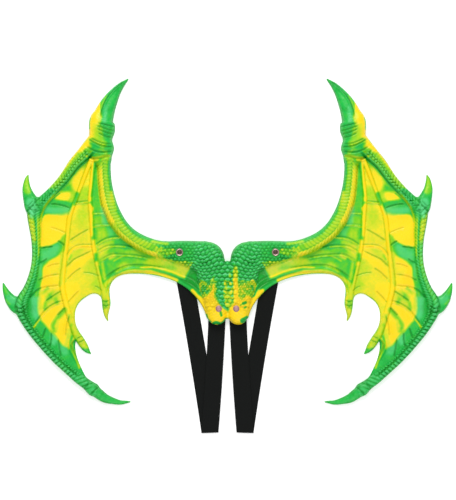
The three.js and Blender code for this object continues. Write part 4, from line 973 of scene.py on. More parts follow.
def arm_relief(bone):
    """A ridge of slanted beads on the skin's side of the arm, then rings, and below a smooth rim.

    Beads and rings lie further apart in the lower arm, where the ridge is narrower. A groove
    runs along the ridge, and in the lower arm another one along the rim."""
    lower_arm, narrowing, rim_edge = (0.4, 0.7), (0.15, 0.6), (-0.48, -0.62)
    ridge_edge, ridge_narrower, ridge_softness = 0.06, 0.26, 0.08
    further, further_from = 0.14, 0.45
    ring_slant, ring_bend, ring_bend_middle = 0.35, 3, -0.1
    ring_top, ring_dip, ring_width = 0.25, 0.6, 0.26
    bead_slant, bead_power, bead_rise, bead_foot = 0.9, 0.4, 1.1, 0.2
    bead_dip, bead_width = 1.15, 0.2
    place = bone.run / bone.length
    lower = smoothstep(*lower_arm, place)
    split = ridge_edge + ridge_narrower * smoothstep(*narrowing, place)
    ridge = smoothstep(split, split + ridge_softness, bone.share)
    rim = smoothstep(*rim_edge, bone.share) * lower
    slowed = bone.run - further * np.maximum(bone.run - further_from * bone.length, 0)
    bend = ring_bend * (bone.share - ring_bend_middle)**2
    ring = (slowed + ring_slant * bone.across + bend) / RING_PITCH
    rings = (1 - ridge) * (1 - rim) * (ring_top - ring_dip * groove(ring, ring_width))
    middle, reach = (1 + split) / 2, (1 - split) / 2
    half = np.clip(1 - ((bone.share - middle) / reach)**2, 0, 1)
    bead = (slowed - bead_slant * bone.across) / BEAD_PITCH
    beads = bead_rise * half**bead_power - bead_foot - bead_dip * groove(bead, bead_width)
    relief = rings + ridge * beads
    relief -= 0.4 * bell(bone.share, middle=split + 0.02, width=0.06)
    return relief - 0.5 * lower * bell(bone.share, middle=-0.55, width=0.05)


def upper_bone_relief(bone):
    """Pits between fine scales on the skin's side, and a smooth band that ends in chevrons.

    A groove parts the two, a lip runs along the inner edge, and all fades at both ends."""
    pit_length, pit_width, pit_rise, pit_depth = 5.8, 4.7, 1.9, 1.2
    ring_pitch, ring_dip = 5.1, 0.25
    chevron_pitch, chevron_slant, chevron_rise, chevron_foot = 6.5, 0.8, 1.3, 0.95
    lip_rise, lip_fall, lip_edge = 0.5, 1.6, (-0.86, -0.95)
    outer_from, inner_from, chevrons_from = (-0.05, 0.12), (-0.58, -0.68), (55, 75)
    begins, ends = (14, 22), (4, 16)
    outer = smoothstep(*outer_from, bone.share)
    inner = smoothstep(*inner_from, bone.share)
    chevrons = smoothstep(*chevrons_from, bone.run)
    scale = six_sided(bone.run / pit_length, bone.across / pit_width)[0]
    relief = (1 - outer) * (1 - inner) * (pit_rise * smoothstep(0, 0.24, scale) - pit_depth)
    relief -= 0.5 * bell(bone.share, middle=0.08, width=0.06)
    fall = lip_fall * (1 - chevrons) * smoothstep(*lip_edge, bone.share)
    relief += inner * (lip_rise - fall)
    relief -= ring_dip * outer * (1 - chevrons) * groove(bone.run / ring_pitch, width=0.2)
    bent = (bone.run + chevron_slant * np.abs(bone.across)) / chevron_pitch
    relief += chevrons * (chevron_rise * rounded(bent) - chevron_foot)
    left = bone.length - bone.run
    return relief * smoothstep(*begins, bone.run) * smoothstep(*ends, left)


def middle_bone_relief(bone):
    """A row of slanted blobs outside, a row of pits in the middle, and finer rings inside.

    A groove runs along the inner side, and all fades in at the upper end of the bone."""
    blob_pitch, blob_slant, blob_rise, blob_foot = 6.6, 0.55, 2.2, 0.95
    ring_pitch, ring_slant, ring_rise, ring_foot = 5, 0.9, 1.5, 0.85
    pit_depth, groove_depth = 1.5, 0.8
    outer_from, begins = (-0.1, 0.04), (2, 14)
    outer = smoothstep(*outer_from, bone.share)
    blobs = rounded((bone.run + blob_slant * bone.across) / blob_pitch)
    blobs = blobs * bell(bone.share, middle=0.34, width=0.4)
    rings = rounded((bone.run - ring_slant * bone.across) / ring_pitch)
    relief = outer * (blob_rise * blobs - blob_foot)
    relief = relief + (1 - outer) * (ring_rise * rings - ring_foot)
    relief -= pit_depth * bell(bone.share, middle=-0.14, width=0.1) * (1 - 0.5 * rings)
    relief -= groove_depth * bell(bone.share, middle=-0.84, width=0.08)
    return relief * smoothstep(*begins, bone.run)


def lower_bone_relief(bone):
    """An outer band of rings, a row of knobs, a zigzag groove and a lip of finer rings.

    Towards the end claw all pass into slanted wrinkles and then a smooth collar."""
    slant, band_from, lip_from, wrinkles_before = 0.3, (0.5, 0.6), (-0.6, -0.7), (24, 42)
    wrinkle_slant, wrinkle_pitch, wrinkle_top, wrinkle_dip = 0.7, 7.5, 0.4, 0.9
    knob_middle, knob_shortness, knob_width, knob_rise = 0.12, 2.2, 0.4, 2.6
    bed_depth, bed_width = 0.9, 0.45
    ring_top, ring_dip, ring_width = 0.5, 1.1, 0.2
    zigzag_middle, zigzag_swing, zigzag_width, zigzag_depth = -0.45, 0.18, 0.12, 1.7
    finer, collar_height, deeper = 1.5, 0.4, 1.25
    shown = smoothstep(*wrinkles_before, bone.length - bone.run)
    phase = (bone.run + slant * bone.across) / KNOB_PITCH
    offset = phase - np.round(phase)
    across = (bone.share - knob_middle) / knob_width
    knob = np.sqrt(np.clip(1 - (knob_shortness * offset)**2 - across**2, 0, 1))
    relief = knob_rise * knob - bed_depth * bell(bone.share, knob_middle, bed_width)
    band = smoothstep(*band_from, bone.share)
    relief += band * (ring_top - ring_dip * groove(phase + 0.5, ring_width))
    zigzag = zigzag_swing * (1 - 4 * np.abs(offset))
    relief -= zigzag_depth * bell(bone.share - zigzag_middle, zigzag, zigzag_width)
    lip = smoothstep(*lip_from, bone.share)
    relief += lip * (ring_top - ring_dip * groove(finer * phase, ring_width))
    wrinkle = (bone.run + wrinkle_slant * bone.across) / wrinkle_pitch
    wrinkles = wrinkle_top - wrinkle_dip * groove(wrinkle, ring_width)
    relief = shown * relief + (1 - shown) * wrinkles
    collar = bell(bone.run, middle=bone.length - 2, width=3)
    return deeper * relief * (1 - collar) + collar_height * collar


BONE_RELIEFS = {
    "arm": arm_relief,
    "outer_bone_upper": upper_bone_relief,
    "outer_bone_middle": middle_bone_relief,
    "outer_bone_lower": lower_bone_relief,
}


def scale_cells(x, y):
    """Six-sided scales, with their columns and rows counted from the middle.

    Columns are SCALE_WIDTHS wide in the middle and far out, with the difference of their counts
    growing as x - t atan(x / t), t being SCALE_TURN. Rows are SCALE_ROWS high there, and ROWS_MORE
    rows are squeezed in beside the lobes, which makes the rows above them slope. Noise moves each
    scale a little."""
    (wide, narrow), (high, low) = SCALE_WIDTHS, SCALE_ROWS
    columns = x / wide + (1 / narrow - 1 / wide) * (x - SCALE_TURN * np.arctan(x / SCALE_TURN))
    rows = y / high
    rows += (y - SCALE_ROWS_MEET) * (1 / low - 1 / high) * smoothstep(*SCALE_ROWS_CHANGE, x)
    rows += ROWS_MORE * smoothstep(*ROWS_MORE_OUT, x) * smoothstep(*ROWS_MORE_UP, y)
    return six_sided(columns + SCALE_WANDER * noise(x, y, size=9, seed=61),
                     ROW_STEP * rows + SCALE_WANDER * noise(x, y, size=9, seed=62))


def pebble_cells(x, y):
    """Six-sided pebbles, moved about by noise more than the scales are."""
    return six_sided(x / PEBBLE_PITCH + PEBBLE_WANDER * noise(x, y, size=7, seed=63),
                     y / PEBBLE_PITCH + PEBBLE_WANDER * noise(x, y, size=7, seed=64))


def pebbled(x, y):
    """Share of small pebbles in the place of scales, beside the lobes."""
    shown = smoothstep(*PEBBLES_TOP, y) * smoothstep(*PEBBLES_OUT, x)
    return shown * smoothstep(*PEBBLES_FOOT, y)


def body_relief(x, y, depth):
    """Scales of the shoulders and the middle, and wrinkles below.

    The scales leave a smooth band along the top, as deep as TOP_BAND, and turn to pebbles beside
    the lobes. The second result is the painted highlight on the upper edges of the scales and the
    tops of the pebbles, and the third the painted shade along the lower edges of the scales."""
    rise, foot, uneven = 1.7, 1.15, 0.5
    least_size, taller, flatter_on_top = 1.1, 0.9, 0.5
    taller_over, on_top, near_top = (-70, -25), (-12, 8), (-6, 6)
    least_edge, edge_varies, edge_more, edge_more_over = 0.6, 0.8, 0.6, (8, -10)
    upper_side, lower_side, pebble_top = (-0.1, 0.3), (0.05, -0.35), (0.2, 0.4)
    edge_depth, lit_width, dark_width = 0.12, 0.09, 0.12
    wrinkle_x, wrinkle_y, wrinkle_bend, wrinkle_height = 0.55, 0.9, 2, 0.35
    cell, number, above = scale_cells(x, y)
    plate = 1 - (1 - 2 * cell)**3
    pebble = pebbled(x, y)
    pebble_cell = pebble_cells(x, y)[0]
    plate += (2 * pebble_cell - plate) * pebble
    scaled = smoothstep(*SCALES_FOOT, y) * smoothstep(*SCALES_OUT, x)
    scaled *= smoothstep(0.2, 1, depth / (SIDE_BAND + TOP_BAND * smoothstep(*near_top, y)))
    size = least_size + taller * smoothstep(*taller_over, y)
    size -= flatter_on_top * smoothstep(*on_top, y)
    relief = scaled * size * (rise * plate - foot + uneven * (number - 0.5))
    edge = scaled * (1 - pebble) * (least_edge + edge_varies * number)
    edge *= 1 + edge_more * smoothstep(*edge_more_over, y)
    # painted highlight where light from above falls on the scales' upper edges and the pebbles' tops
    lit = SCALE_LIGHT * edge * bell(cell, edge_depth, lit_width) * smoothstep(*upper_side, above)
    lit += PEBBLE_LIGHT * scaled * pebble * smoothstep(*pebble_top, pebble_cell)
    # painted shade along the scales' lower edges, which face away from the light above
    dark = edge * bell(cell, edge_depth, dark_width) * smoothstep(*lower_side, above)
    wrinkled = smoothstep(*WRINKLES_IN, depth) * smoothstep(*WRINKLES_TOP, y)
    bend = wrinkle_bend * noise(x, y, size=14, seed=11)
    phase = (wrinkle_y * y + wrinkle_x * x + bend) / WRINKLE_PITCH
    return relief + wrinkle_height * wrinkled * np.cos(2 * np.pi * phase), lit, dark


def line_relief(x, y):
    """Veins and creases: a ridge along each line with a groove beside it, both fading at its ends."""
    ridge_width, trench_place, trench_width, trench_share = 1.1, -1.6, 1.2, 0.9
    begins, ends = (-0.02, 0.14), (1.02, 0.86)
    relief = np.zeros(len(x))
    for _, up, down, half, marks in VEINS + CREASES:
        path = smooth_rows(from_photo(marks), BONE_STEPS)
        line = Along(path, x, y, LINE_REACH * half)
        place = line.run / line.length
        fade = smoothstep(*begins, place) * smoothstep(*ends, place)
        ridge = up * bell(line.across, 0, ridge_width * half)
        trench = trench_share * down * bell(line.across, trench_place * half, trench_width * half)
        relief[line.near] += LINE_RELIEF * fade * (ridge - trench)
    return relief


def rivet_places():
    """Plan centre at x >= 0, head radius and seat height of the upper and the lower rivet."""
    places = []
    for label in ("upper", "lower"):
        low, high = node_box(f"right_{label}_rivet")
        middle = (low + high) / 2
        places.append((middle[0], middle[1], (high[0] - low[0]) / 2, RIVET_SEATS[label]))
    return places


def wing_form(x, y):
    """Form of one wing at points: distance in from the rim, distance in from the rim and the
    rivets' holes, height over the back, amount of painted shade (in the grooves, along the rim and
    under the scales' lower edges), and amount of painted highlight (on the tops of the bones'
    textures and on the scales' upper edges).

    Each bone is BONE_EDGE + (height - BONE_EDGE) (1 - |share|^p)^(1/p) high, with p BONE_POWER
    and share how far across its half width a point is. Bones and skin are joined by higher(),
    which rounds their meeting, and the rim of the skin is rounded off too."""
    skin = inside(skin_outline(), x, y)
    outline = skin.copy()
    bones = {name: along_bone(name, x, y) for name in BONES}
    body = np.full(len(x), FAR_OUTSIDE)
    for name in BODY:
        i = bones[name].near
        body[i] = np.maximum(body[i], bones[name].half - bones[name].distance)
    swell = SKIN_SWELL * noise(x, y, SKIN_LUMPS, seed=3) * smoothstep(*SKIN_SWELL_IN, skin)
    height = FOAM_SKIN + swell
    height += SKIN_RISE * smoothstep(*SKIN_RISE_OVER, body)
    height = np.where(skin > -SKIN_BEYOND, height, 0)
    lines = line_relief(x, y)
    relief = np.zeros(len(x))
    for name, bone in bones.items():
        i = bone.near
        full = np.clip(1 - np.abs(bone.share)**BONE_POWER, 0, 1)
        rise = (bone.height - BONE_EDGE) * full**(1 / BONE_POWER)
        if name in CLAWS_FROM_A_BONE:
            rise *= smoothstep(*CLAW_ROOT, bone.run)
        beyond = -BEYOND_SLOPE * (bone.distance - bone.half)
        rise = np.where(bone.share**2 < 1, rise, beyond) + BONE_EDGE
        height[i] = higher(height[i], rise, RIB_BLEND if name in THIN_RIBS else BONE_BLEND)
        outline[i] = higher(outline[i], bone.half - bone.distance, OUTLINE_BLEND)
        if name in BONE_RELIEFS:
            shown = smoothstep(*BONE_TEXTURE_ACROSS, np.abs(bone.share))
            shown *= smoothstep(*BONE_TEXTURE_ALONG, bone.run)
            shown *= smoothstep(*BONE_TEXTURE_OUT, x[i])
            relief[i] += RELIEF * shown * BONE_RELIEFS[name](bone)
    # painted highlight on the tops of the bones' textures
    painted_highlight = BONE_TOP_HIGHLIGHT * np.clip(relief / RAISED_FULL, 0, 1)
    scales, lit, dark = body_relief(x, y, body)
    relief += scales
    painted_highlight = np.maximum(painted_highlight, lit)
    arm = bones["arm"]
    painted_highlight[arm.near] *= smoothstep(*NO_LIGHT_ON_ARM, np.abs(arm.share))
    relief += lines
    height += relief * smoothstep(*TEXTURE_IN, outline)
    rim = np.clip(outline / EDGE_ROUND, 0, 1)
    height = BONE_EDGE + (height - BONE_EDGE) * np.sqrt(1 - (1 - rim)**2)
    cut = outline
    for middle_x, middle_y, radius, seat in rivet_places():
        away = np.hypot(x - middle_x, y - middle_y)
        dish = seat - LIFT + SEAT_SLOPE * np.maximum(away - radius - CLEARANCE, 0)
        height = -higher(-height, -dish, SEAT_BLEND)
        flat = smoothstep(radius + SEAT_EDGE[0], radius + SEAT_EDGE[1], away)
        height += flat * (seat - LIFT - height)
        relief *= 1 - flat
        painted_highlight *= 1 - flat
        cut = np.minimum(cut, away - SHANK_RADIUS - CLEARANCE)
    # painted shade in the grooves by their depth, along the rim, and under the scales' lower edges
    rim_shade = RIM_SHADE * smoothstep(*RIM_SHADE_IN, outline)
    depth = np.maximum(np.clip(-relief / GROOVE_FULL, 0, 1), rim_shade)
    depth = np.maximum(depth, SCALE_SHADE * dark * smoothstep(*SCALE_SHADE_IN, outline))
    return {"rim": outline, "cut": cut, "height": height, "depth": depth, "painted_highlight": painted_highlight}


def lift(x):
    """Height of the back over the floor: full over the straps, eased to nothing outwards."""
    return LIFT * (1 - smoothstep(LIFT_FULL_TO, LIFT_ENDS_AT, np.abs(x)))


def cut_grid(pitch):
    """Plan of one wing as polygons: a square grid cut along its outline where the cut is 0.

    Each cell keeps the corners that are inside, and the points where the outline crosses its
    sides. Returns points, which of them lie on the outline, polygons, and the outline's steps."""
    across = np.arange(0, HALF_SPAN + 2 * pitch, pitch)
    upwards = np.arange(FOOT - 2 * pitch, FOOT + WING_HEIGHT + 2 * pitch, pitch)
    x, y = (values.ravel() for values in np.meshgrid(across, upwards, indexing="ij"))
    shape = (len(across), len(upwards))
    cut = wing_form(x, y)["cut"].reshape(shape)
    x, y = x.reshape(shape), y.reshape(shape)
    within = cut > 0
    number = np.full(shape, -1)
    number[within] = np.arange(within.sum())
    points = [np.column_stack([x[within], y[within]])]
    count = within.sum()
    crossings = []
    for axis in (0, 1):
        near = tuple(slice(None, -1) if k == axis else slice(None) for k in (0, 1))
        far = tuple(slice(1, None) if k == axis else slice(None) for k in (0, 1))
        crossed = within[near] != within[far]
        start, end = cut[near][crossed], cut[far][crossed]
        f = np.clip(start / (start - end), *CROSSING_LIMITS)
        points.append(np.column_stack([
            x[near][crossed] * (1 - f) + x[far][crossed] * f,
            y[near][crossed] * (1 - f) + y[far][crossed] * f]))
        crossing = np.full(crossed.shape, -1)
        crossing[crossed] = count + np.arange(crossed.sum())
        count += crossed.sum()
        crossings.append(crossing)
    along_x, along_y = crossings
    corners = [number[:-1, :-1], number[1:, :-1], number[1:, 1:], number[:-1, 1:]]
    sides = [along_x[:, :-1], along_y[1:, :], along_x[:, 1:], along_y[:-1, :]]
    case = sum((corner >= 0) << k for k, corner in enumerate(corners))
    polygons, steps = [], []
    for kind in range(1, 16):
        here = case == kind
        if not here.any():
            continue
        walk = []
        for k in range(4):
            inner, ahead = kind >> k & 1, kind >> (k + 1) % 4 & 1
            if inner:
                walk.append((corners[k][here], False))
            if inner != ahead:
                walk.append((sides[k][here], True))
        polygons += np.column_stack([points_of for points_of, _ in walk]).tolist()
        for (start, leaves), (end, returns) in zip(walk, walk[1:] + walk[:1]):
            if leaves and returns:
                steps.append(np.column_stack([start, end]))
    points = np.vstack(points)
    on_outline = np.arange(len(points)) >= within.sum()
    return points, on_outline, polygons, np.vstack(steps)


def flat_back(plan, steps):
    """Triangles that close the back inside the outline's steps, with coarse points within it."""
    used, renumbered = np.unique(steps, return_inverse=True)
    ring = plan[used]
    edges = renumbered.reshape(-1, 2).tolist()
    ends = np.flatnonzero(np.abs(ring[:, 0]) < ON_SEAM)
    low, high = ends[np.argsort(ring[ends, 1])]
    count = math.ceil((ring[high, 1] - ring[low, 1]) / BACK_PITCH)
    seam_y = np.linspace(ring[low, 1], ring[high, 1], count + 1)[1:-1]
    seam = np.column_stack([np.zeros(count - 1), seam_y])
    chain = [low, *range(len(ring), len(ring) + count - 1), high]
    edges += [list(pair) for pair in zip(chain[:-1], chain[1:])]
    across = np.arange(BACK_PITCH, HALF_SPAN, BACK_PITCH)
    upwards = np.arange(FOOT, FOOT + WING_HEIGHT, BACK_PITCH)
    x, y = (values.ravel() for values in np.meshgrid(across, upwards))
    deep = wing_form(x, y)["cut"] > BACK_PITCH / 3
    points = np.vstack([ring, seam, np.column_stack([x, y])[deep]])
    found, _, triangles, came_from, _, _ = delaunay_2d_cdt(
        [tuple(point) for point in points], edges, [], TRIANGLES_INSIDE, SAME_POINT)
    found = np.array(found)
    triangles = np.array([list(triangle) for triangle in triangles])
    middle = found[triangles].mean(1)
    triangles = triangles[wing_form(middle[:, 0], middle[:, 1])["cut"] > -BACK_PITCH / 4]
    old = np.array([origin[0] if origin else -1 for origin in came_from])
    return points, old[triangles], used


def moulding_half():
    """Points and polygons of one wing at x >= 0: its face, its rim wall and its back. The third
    result is how many of the points are the face's, which come first."""
    pitch = settings().moulding.pitch / MM
    plan, on_outline, polygons, steps = cut_grid(pitch)
    plan[np.abs(plan[:, 0]) < ON_SEAM, 0] = 0
    form = wing_form(plan[:, 0], plan[:, 1])
    on_rim = on_outline & (form["rim"] < pitch)
    height = np.where(on_rim, BONE_EDGE, form["height"])
    face = np.column_stack([plan, lift(plan[:, 0]) + height])
    back_plan, triangles, ring = flat_back(plan, steps)
    back = np.column_stack([back_plan, lift(back_plan[:, 0])])
    under = np.full(len(face), -1)
    under[ring] = len(face) + np.arange(len(ring))
    start, end = steps.T
    walls = np.column_stack([end, start, under[start], under[end]])
    corner = back_plan[triangles]
    turn = np.cross(corner[:, 1] - corner[:, 0], corner[:, 2] - corner[:, 0])
    triangles = np.where((turn > 0)[:, None], triangles[:, ::-1], triangles)
    polygons += walls.tolist() + (triangles + len(face)).tolist()
    return np.vstack([face, back]), polygons, len(face)


def both_wings(points, polygons):
    """A half and its mirror image, which share the points on the seam between them, and which of
    the half's points are not shared."""
    free = points[:, 0] > 0
    mirrored = np.arange(len(points))
    mirrored[free] = len(points) + np.arange(free.sum())
    other = points[free] * (-1, 1, 1)
    turned = [mirrored[polygon[::-1]].tolist() for polygon in polygons]
    return np.vstack([points, other]), polygons + turned, free


def wandering(x, y, first_seed):
    """Sum of the noises of WANDER_PARTS, with seeds one after another."""
    (most, coarse), (rest, fine) = WANDER_PARTS
    return most * noise(x, y, coarse, first_seed) + rest * noise(x, y, fine, first_seed + 1)


def laid(paint, x, y, patches, lines):
    """Paint values with closed patches and then lines laid over them one after another.

    Each covers by smoothstep of the depth inside its edge, at points moved a little by noise so
    that the edges wander as sprayed and dabbed paint does."""
    wander_x, wander_y = wandering(x, y, 21), wandering(x, y, 23)
    rows = [(value, soft, wander, None, marks) for _, value, soft, wander, marks in patches]
    rows += [(value, soft, LINE_WANDER, radius, marks) for _, value, radius, soft, marks in lines]
    for value, soft, wander, radius, marks in rows:
        marks = from_photo(marks)
        low, high = marks.min(0) - PAINT_REACH, marks.max(0) + PAINT_REACH
        i = np.flatnonzero((x > low[0]) & (x < high[0]) & (y > low[1]) & (y < high[1]))
        moved_x, moved_y = x[i] + wander * wander_x[i], y[i] + wander * wander_y[i]
        if radius is None:
            border = smooth_rows(np.vstack([marks, marks[:1]]), PATCH_STEPS)[:-1]
            depth = inside(border, moved_x, moved_y)
        else:
            depth = radius - beside(smooth_rows(marks, LINE_STEPS), moved_x, moved_y)[0]
        paint[i] += (value - paint[i]) * smoothstep(-soft, soft, depth)
    return paint


def banded(paint, x, y):
    """Paint values with the rows of BANDS laid over them, along each bone and part of its width."""
    across, along = BAND_SOFTNESS
    for _, name, value, inner, outer, first, last in BANDS:
        bone = along_bone(name, x, y)
        place = bone.run / bone.length
        amount = smoothstep(inner - across, inner + across, bone.share)
        amount *= smoothstep(outer + across, outer - across, bone.share)
        amount *= smoothstep(first - along, first + along, place)
        amount *= smoothstep(last + along, last - along, place)
        paint[bone.near] += (value - paint[bone.near]) * amount
    return paint


def dabbed(paint, x, y, areas, least, more):
    """Paint values with dabs inside the areas, where a pebble's number and a noise are below the
    share there. A dab's value is least, and up to so much more by the pebble's number."""
    by_number, by_place, by_cell = 0.7, 0.3, 0.5
    softness, renumber = 0.15, 17.3
    in_area, not_golden = (0.02, 0.2), (0.98, 0.9)
    share = laid(np.zeros(len(x)), x, y, areas, [])
    cell, number, _ = pebble_cells(np.abs(x), y)
    fine = 0.5 + 0.5 * noise(x, y, size=5, seed=51)
    amount = smoothstep(-softness, softness, share - 0.5 * number - 0.5 * fine)
    amount *= smoothstep(*in_area, share) * smoothstep(*not_golden, paint)
    place = by_number * (number * renumber % 1) + by_place
    place = place + by_place * noise(x, y, size=3.2, seed=52) + by_cell * (cell - 0.25)
    return paint + (least + more * place - paint) * amount


def wing_paint(x, y, depth, painted_highlight):
    """Paint from 0, deep green, over 0.4, lime, to 1, golden, amount of painted sheen, and amount of
    painted shade with the drips' darker edges added.

    In grooves, lime is painted greener as painted shade, and painted highlights make raised places
    of the green paler. Drips are deep green with a darker edge, where their amount a gives
    4 a (1 - a)."""
    broad, medium, fine = 0.04, 0.04, 0.05
    not_green, only_green = (0.3, 0.6), (0.6, 0.35)
    not_golden, not_yellow = (1.0, 0.85), (0.95, 0.85)
    out = np.abs(x)
    paint = BASE_PAINT + broad * noise(out, y, size=30, seed=31)
    paint = laid(paint, out, y, PATCHES, LINES)
    paint = banded(paint, out, y)
    paint = laid(paint, -x, y, MIDDLE_PATCHES, MIDDLE_LINES)
    paint = dabbed(paint, out, y, DABBED, *DAB_PAINT)
    paint = dabbed(paint, -x, y, MIDDLE_DABBED, *MIDDLE_DAB_PAINT)
    paint = laid(paint, out, y, [], HOOKS)
    # painted shade: grooves in lime are painted greener
    between = smoothstep(*not_green, paint) * smoothstep(*not_golden, paint)
    paint = paint - GROOVE_PAINT * depth * between
    paint += fine * noise(out, y, size=3, seed=41) * smoothstep(*not_yellow, paint)
    paint += medium * noise(out, y, size=11, seed=42)
    haze = laid(np.zeros(len(x)), out, y, PAINTED_SHEEN, [])
    # painted highlight on raised places of the green, as more painted sheen
    haze += PAINTED_HIGHLIGHT_STRENGTH * painted_highlight * smoothstep(*only_green, paint)
    drip = laid(np.zeros(len(x)), -x, y, [], MIDDLE_DRIPS)
    paint += (DRIP_PAINT - paint) * drip
    depth = np.maximum(depth, 4 * drip * (1 - drip))
    return np.clip(paint, 0, 1), np.clip(haze, 0, PAINTED_SHEEN_LIMIT), depth


def new_piece(name, points, polygons, material, smooth_to=None, **attributes):
    """Mesh object at the origin from points in millimetres, shaded smooth up to an angle."""
    mesh = bpy.data.meshes.new(name)
    mesh.from_pydata((np.asarray(points) * MM).tolist(), [], polygons)
    mesh.validate()
    mesh.shade_smooth()
    if smooth_to is not None:
        mesh.set_sharp_from_angle(angle=smooth_to)
    for label, values in attributes.items():
        attribute = mesh.attributes.new(label, "FLOAT", "POINT")
        attribute.data.foreach_set("value", np.asarray(values, np.float32))
    mesh.materials.append(material)
    piece = bpy.data.objects.new(name, mesh)
    bpy.context.scene.collection.objects.link(piece)
    return piece


def settings():
    """The sizes and colours set in the sidebar."""
    return bpy.context.scene.dragon_wings


def new_material(name):
    """New material, its tree's nodes and links, and its surface shader."""
    material = bpy.data.materials.new(name)
    material.use_nodes = True
    nodes, links = material.node_tree.nodes, material.node_tree.links
    return material, nodes, links, nodes["Principled BSDF"]


def set_inputs(node, **values):
    """Sets a node's sockets by name, with underscores for the spaces."""
    for name, value in values.items():
        node.inputs[name.replace("_", " ")].default_value = value
    return node


def attribute_node(nodes, name):
    """Value of one of the mesh's attributes."""
    node = nodes.new("ShaderNodeAttribute")
    node.attribute_name = name
    return node.outputs["Fac"]


def colour_ramp(nodes, links, value, stops):
    """Colour of a value socket, by a ramp with a stop for each pair of a position and a colour."""
    ramp = nodes.new("ShaderNodeValToRGB")
    elements = ramp.color_ramp.elements
    while len(elements) < len(stops):
        elements.new(1)
    for element, (position, colour) in zip(elements, stops):
        element.position = position
        element.color = (*colour[:3], 1)
    links.new(value, ramp.inputs["Fac"])
    return ramp.outputs["Color"]


def darkened(colour, share):
    """Colour with so large a share of its light."""
    return tuple(share * part for part in colour[:3])


def noise_node(nodes, links, place, scale, detail=3, roughness=0.5):
    """Noise on a place, so many lumps a metre."""
    node = set_inputs(nodes.new("ShaderNodeTexNoise"), Scale=scale, Detail=detail,
                      Roughness=roughness)
    links.new(place, node.inputs["Vector"])
    return node.outputs["Fac"]


def math_node(nodes, links, operation, *values):
    """Math node whose inputs are sockets or numbers."""
    node = nodes.new("ShaderNodeMath")
    node.operation = operation
    for socket, value in zip(node.inputs, values):
        if isinstance(value, (int, float)):
            socket.default_value = value
        else:
            links.new(value, socket)
    return node.outputs[0]


def bump_node(nodes, links, height, distance, strength=1.0, after=None):
    """Bump of a height socket, so many metres deep, over another bump's normal if given."""
    node = set_inputs(nodes.new("ShaderNodeBump"), Strength=strength, Distance=distance)
    links.new(height, node.inputs["Height"])
    if after is not None:
        links.new(after, node.inputs["Normal"])
    return node.outputs[0]


def mixed(nodes, links, factor, first, second, blend="MIX"):
    """Colour mix of two sockets by a factor socket or number."""
    node = nodes.new("ShaderNodeMix")
    node.data_type = "RGBA"
    node.blend_type = blend
    for socket, value in zip((node.inputs[0], node.inputs[6], node.inputs[7]),
                             (factor, first, second)):
        if isinstance(value, (int, float)):
            socket.default_value = value
        elif isinstance(value, tuple):
            socket.default_value = (*value[:3], 1)
        else:
            links.new(value, socket)
    return node.outputs[2]


def foam_material():
    """Painted foam skin: sprayed greens and yellows by the paint attribute, paler by the painted
    sheen and highlights, darker by painted shade in the grooves, along the rim and under the
    scales and by the drips' darker edges, with a fine skin texture and a satin gloss that varies."""
    finish = settings().finish
    speckle_amount = 0.1
    least_rough, rougher, groove_rougher = 0.26, 0.2, 0.4
    material, nodes, links, surface = new_material("painted_foam")
    place = nodes.new("ShaderNodeTexCoord").outputs["Object"]
    paint, depth, haze = (attribute_node(nodes, name) for name in ("paint", "depth", "haze"))
    speckle = noise_node(nodes, links, place, scale=420, detail=4, roughness=0.6)
    speckle = math_node(nodes, links, "MULTIPLY_ADD", speckle, speckle_amount,
                        -speckle_amount / 2)
    value = math_node(nodes, links, "ADD", paint, speckle)
    sprayed = colour_ramp(nodes, links, value, [
        (0, finish.deep_green), (0.12, finish.green), (0.25, finish.light_green),
        (0.4, finish.lime), (0.6, finish.yellow_green), (0.8, finish.pale_yellow),
        (0.92, finish.yellow), (1, finish.golden)])
    # painted sheen and painted highlights: the colour drawn towards a pale green
    thin = math_node(nodes, links, "MULTIPLY", haze, PAINTED_SHEEN_STRENGTH)
    hazed = mixed(nodes, links, thin, sprayed, tuple(finish.haze))
    # painted shade: the colour multiplied towards a darker tint by the depth attribute
    shade = math_node(nodes, links, "MULTIPLY", depth, GROOVE_SHADE)
    tint = colour_ramp(nodes, links, value, GROOVE_TINTS)
    deep = mixed(nodes, links, shade, hazed, tint, "MULTIPLY")
    cloud = noise_node(nodes, links, place, scale=38)
    clouded = colour_ramp(nodes, links, cloud, [(0.3, (0.9, 0.95, 0.92)), (0.7, (1, 1, 1))])
    colour = mixed(nodes, links, 1.0, deep, clouded, "MULTIPLY")
    links.new(colour, surface.inputs["Base Color"])
    gloss = noise_node(nodes, links, place, scale=150)
    rough = math_node(nodes, links, "MULTIPLY_ADD", gloss, rougher, least_rough)
    rough = math_node(nodes, links, "MULTIPLY_ADD", depth, groove_rougher, rough)
    links.new(rough, surface.inputs["Roughness"])
    pores = noise_node(nodes, links, place, scale=1500, roughness=0.6)
    folds = noise_node(nodes, links, place, scale=260)
    normal = bump_node(nodes, links, pores, distance=0.00012)
    normal = bump_node(nodes, links, folds, distance=0.0006, after=normal)
    links.new(normal, surface.inputs["Normal"])
    set_inputs(surface, Specular_IOR_Level=0.33)
    return material


def wave_node(nodes, links, place, pitch):
    """Sine of a place socket, with one wave to each pitch."""
    turn = math_node(nodes, links, "MULTIPLY", place, 2 * math.pi / pitch)
    return math_node(nodes, links, "SINE", turn)


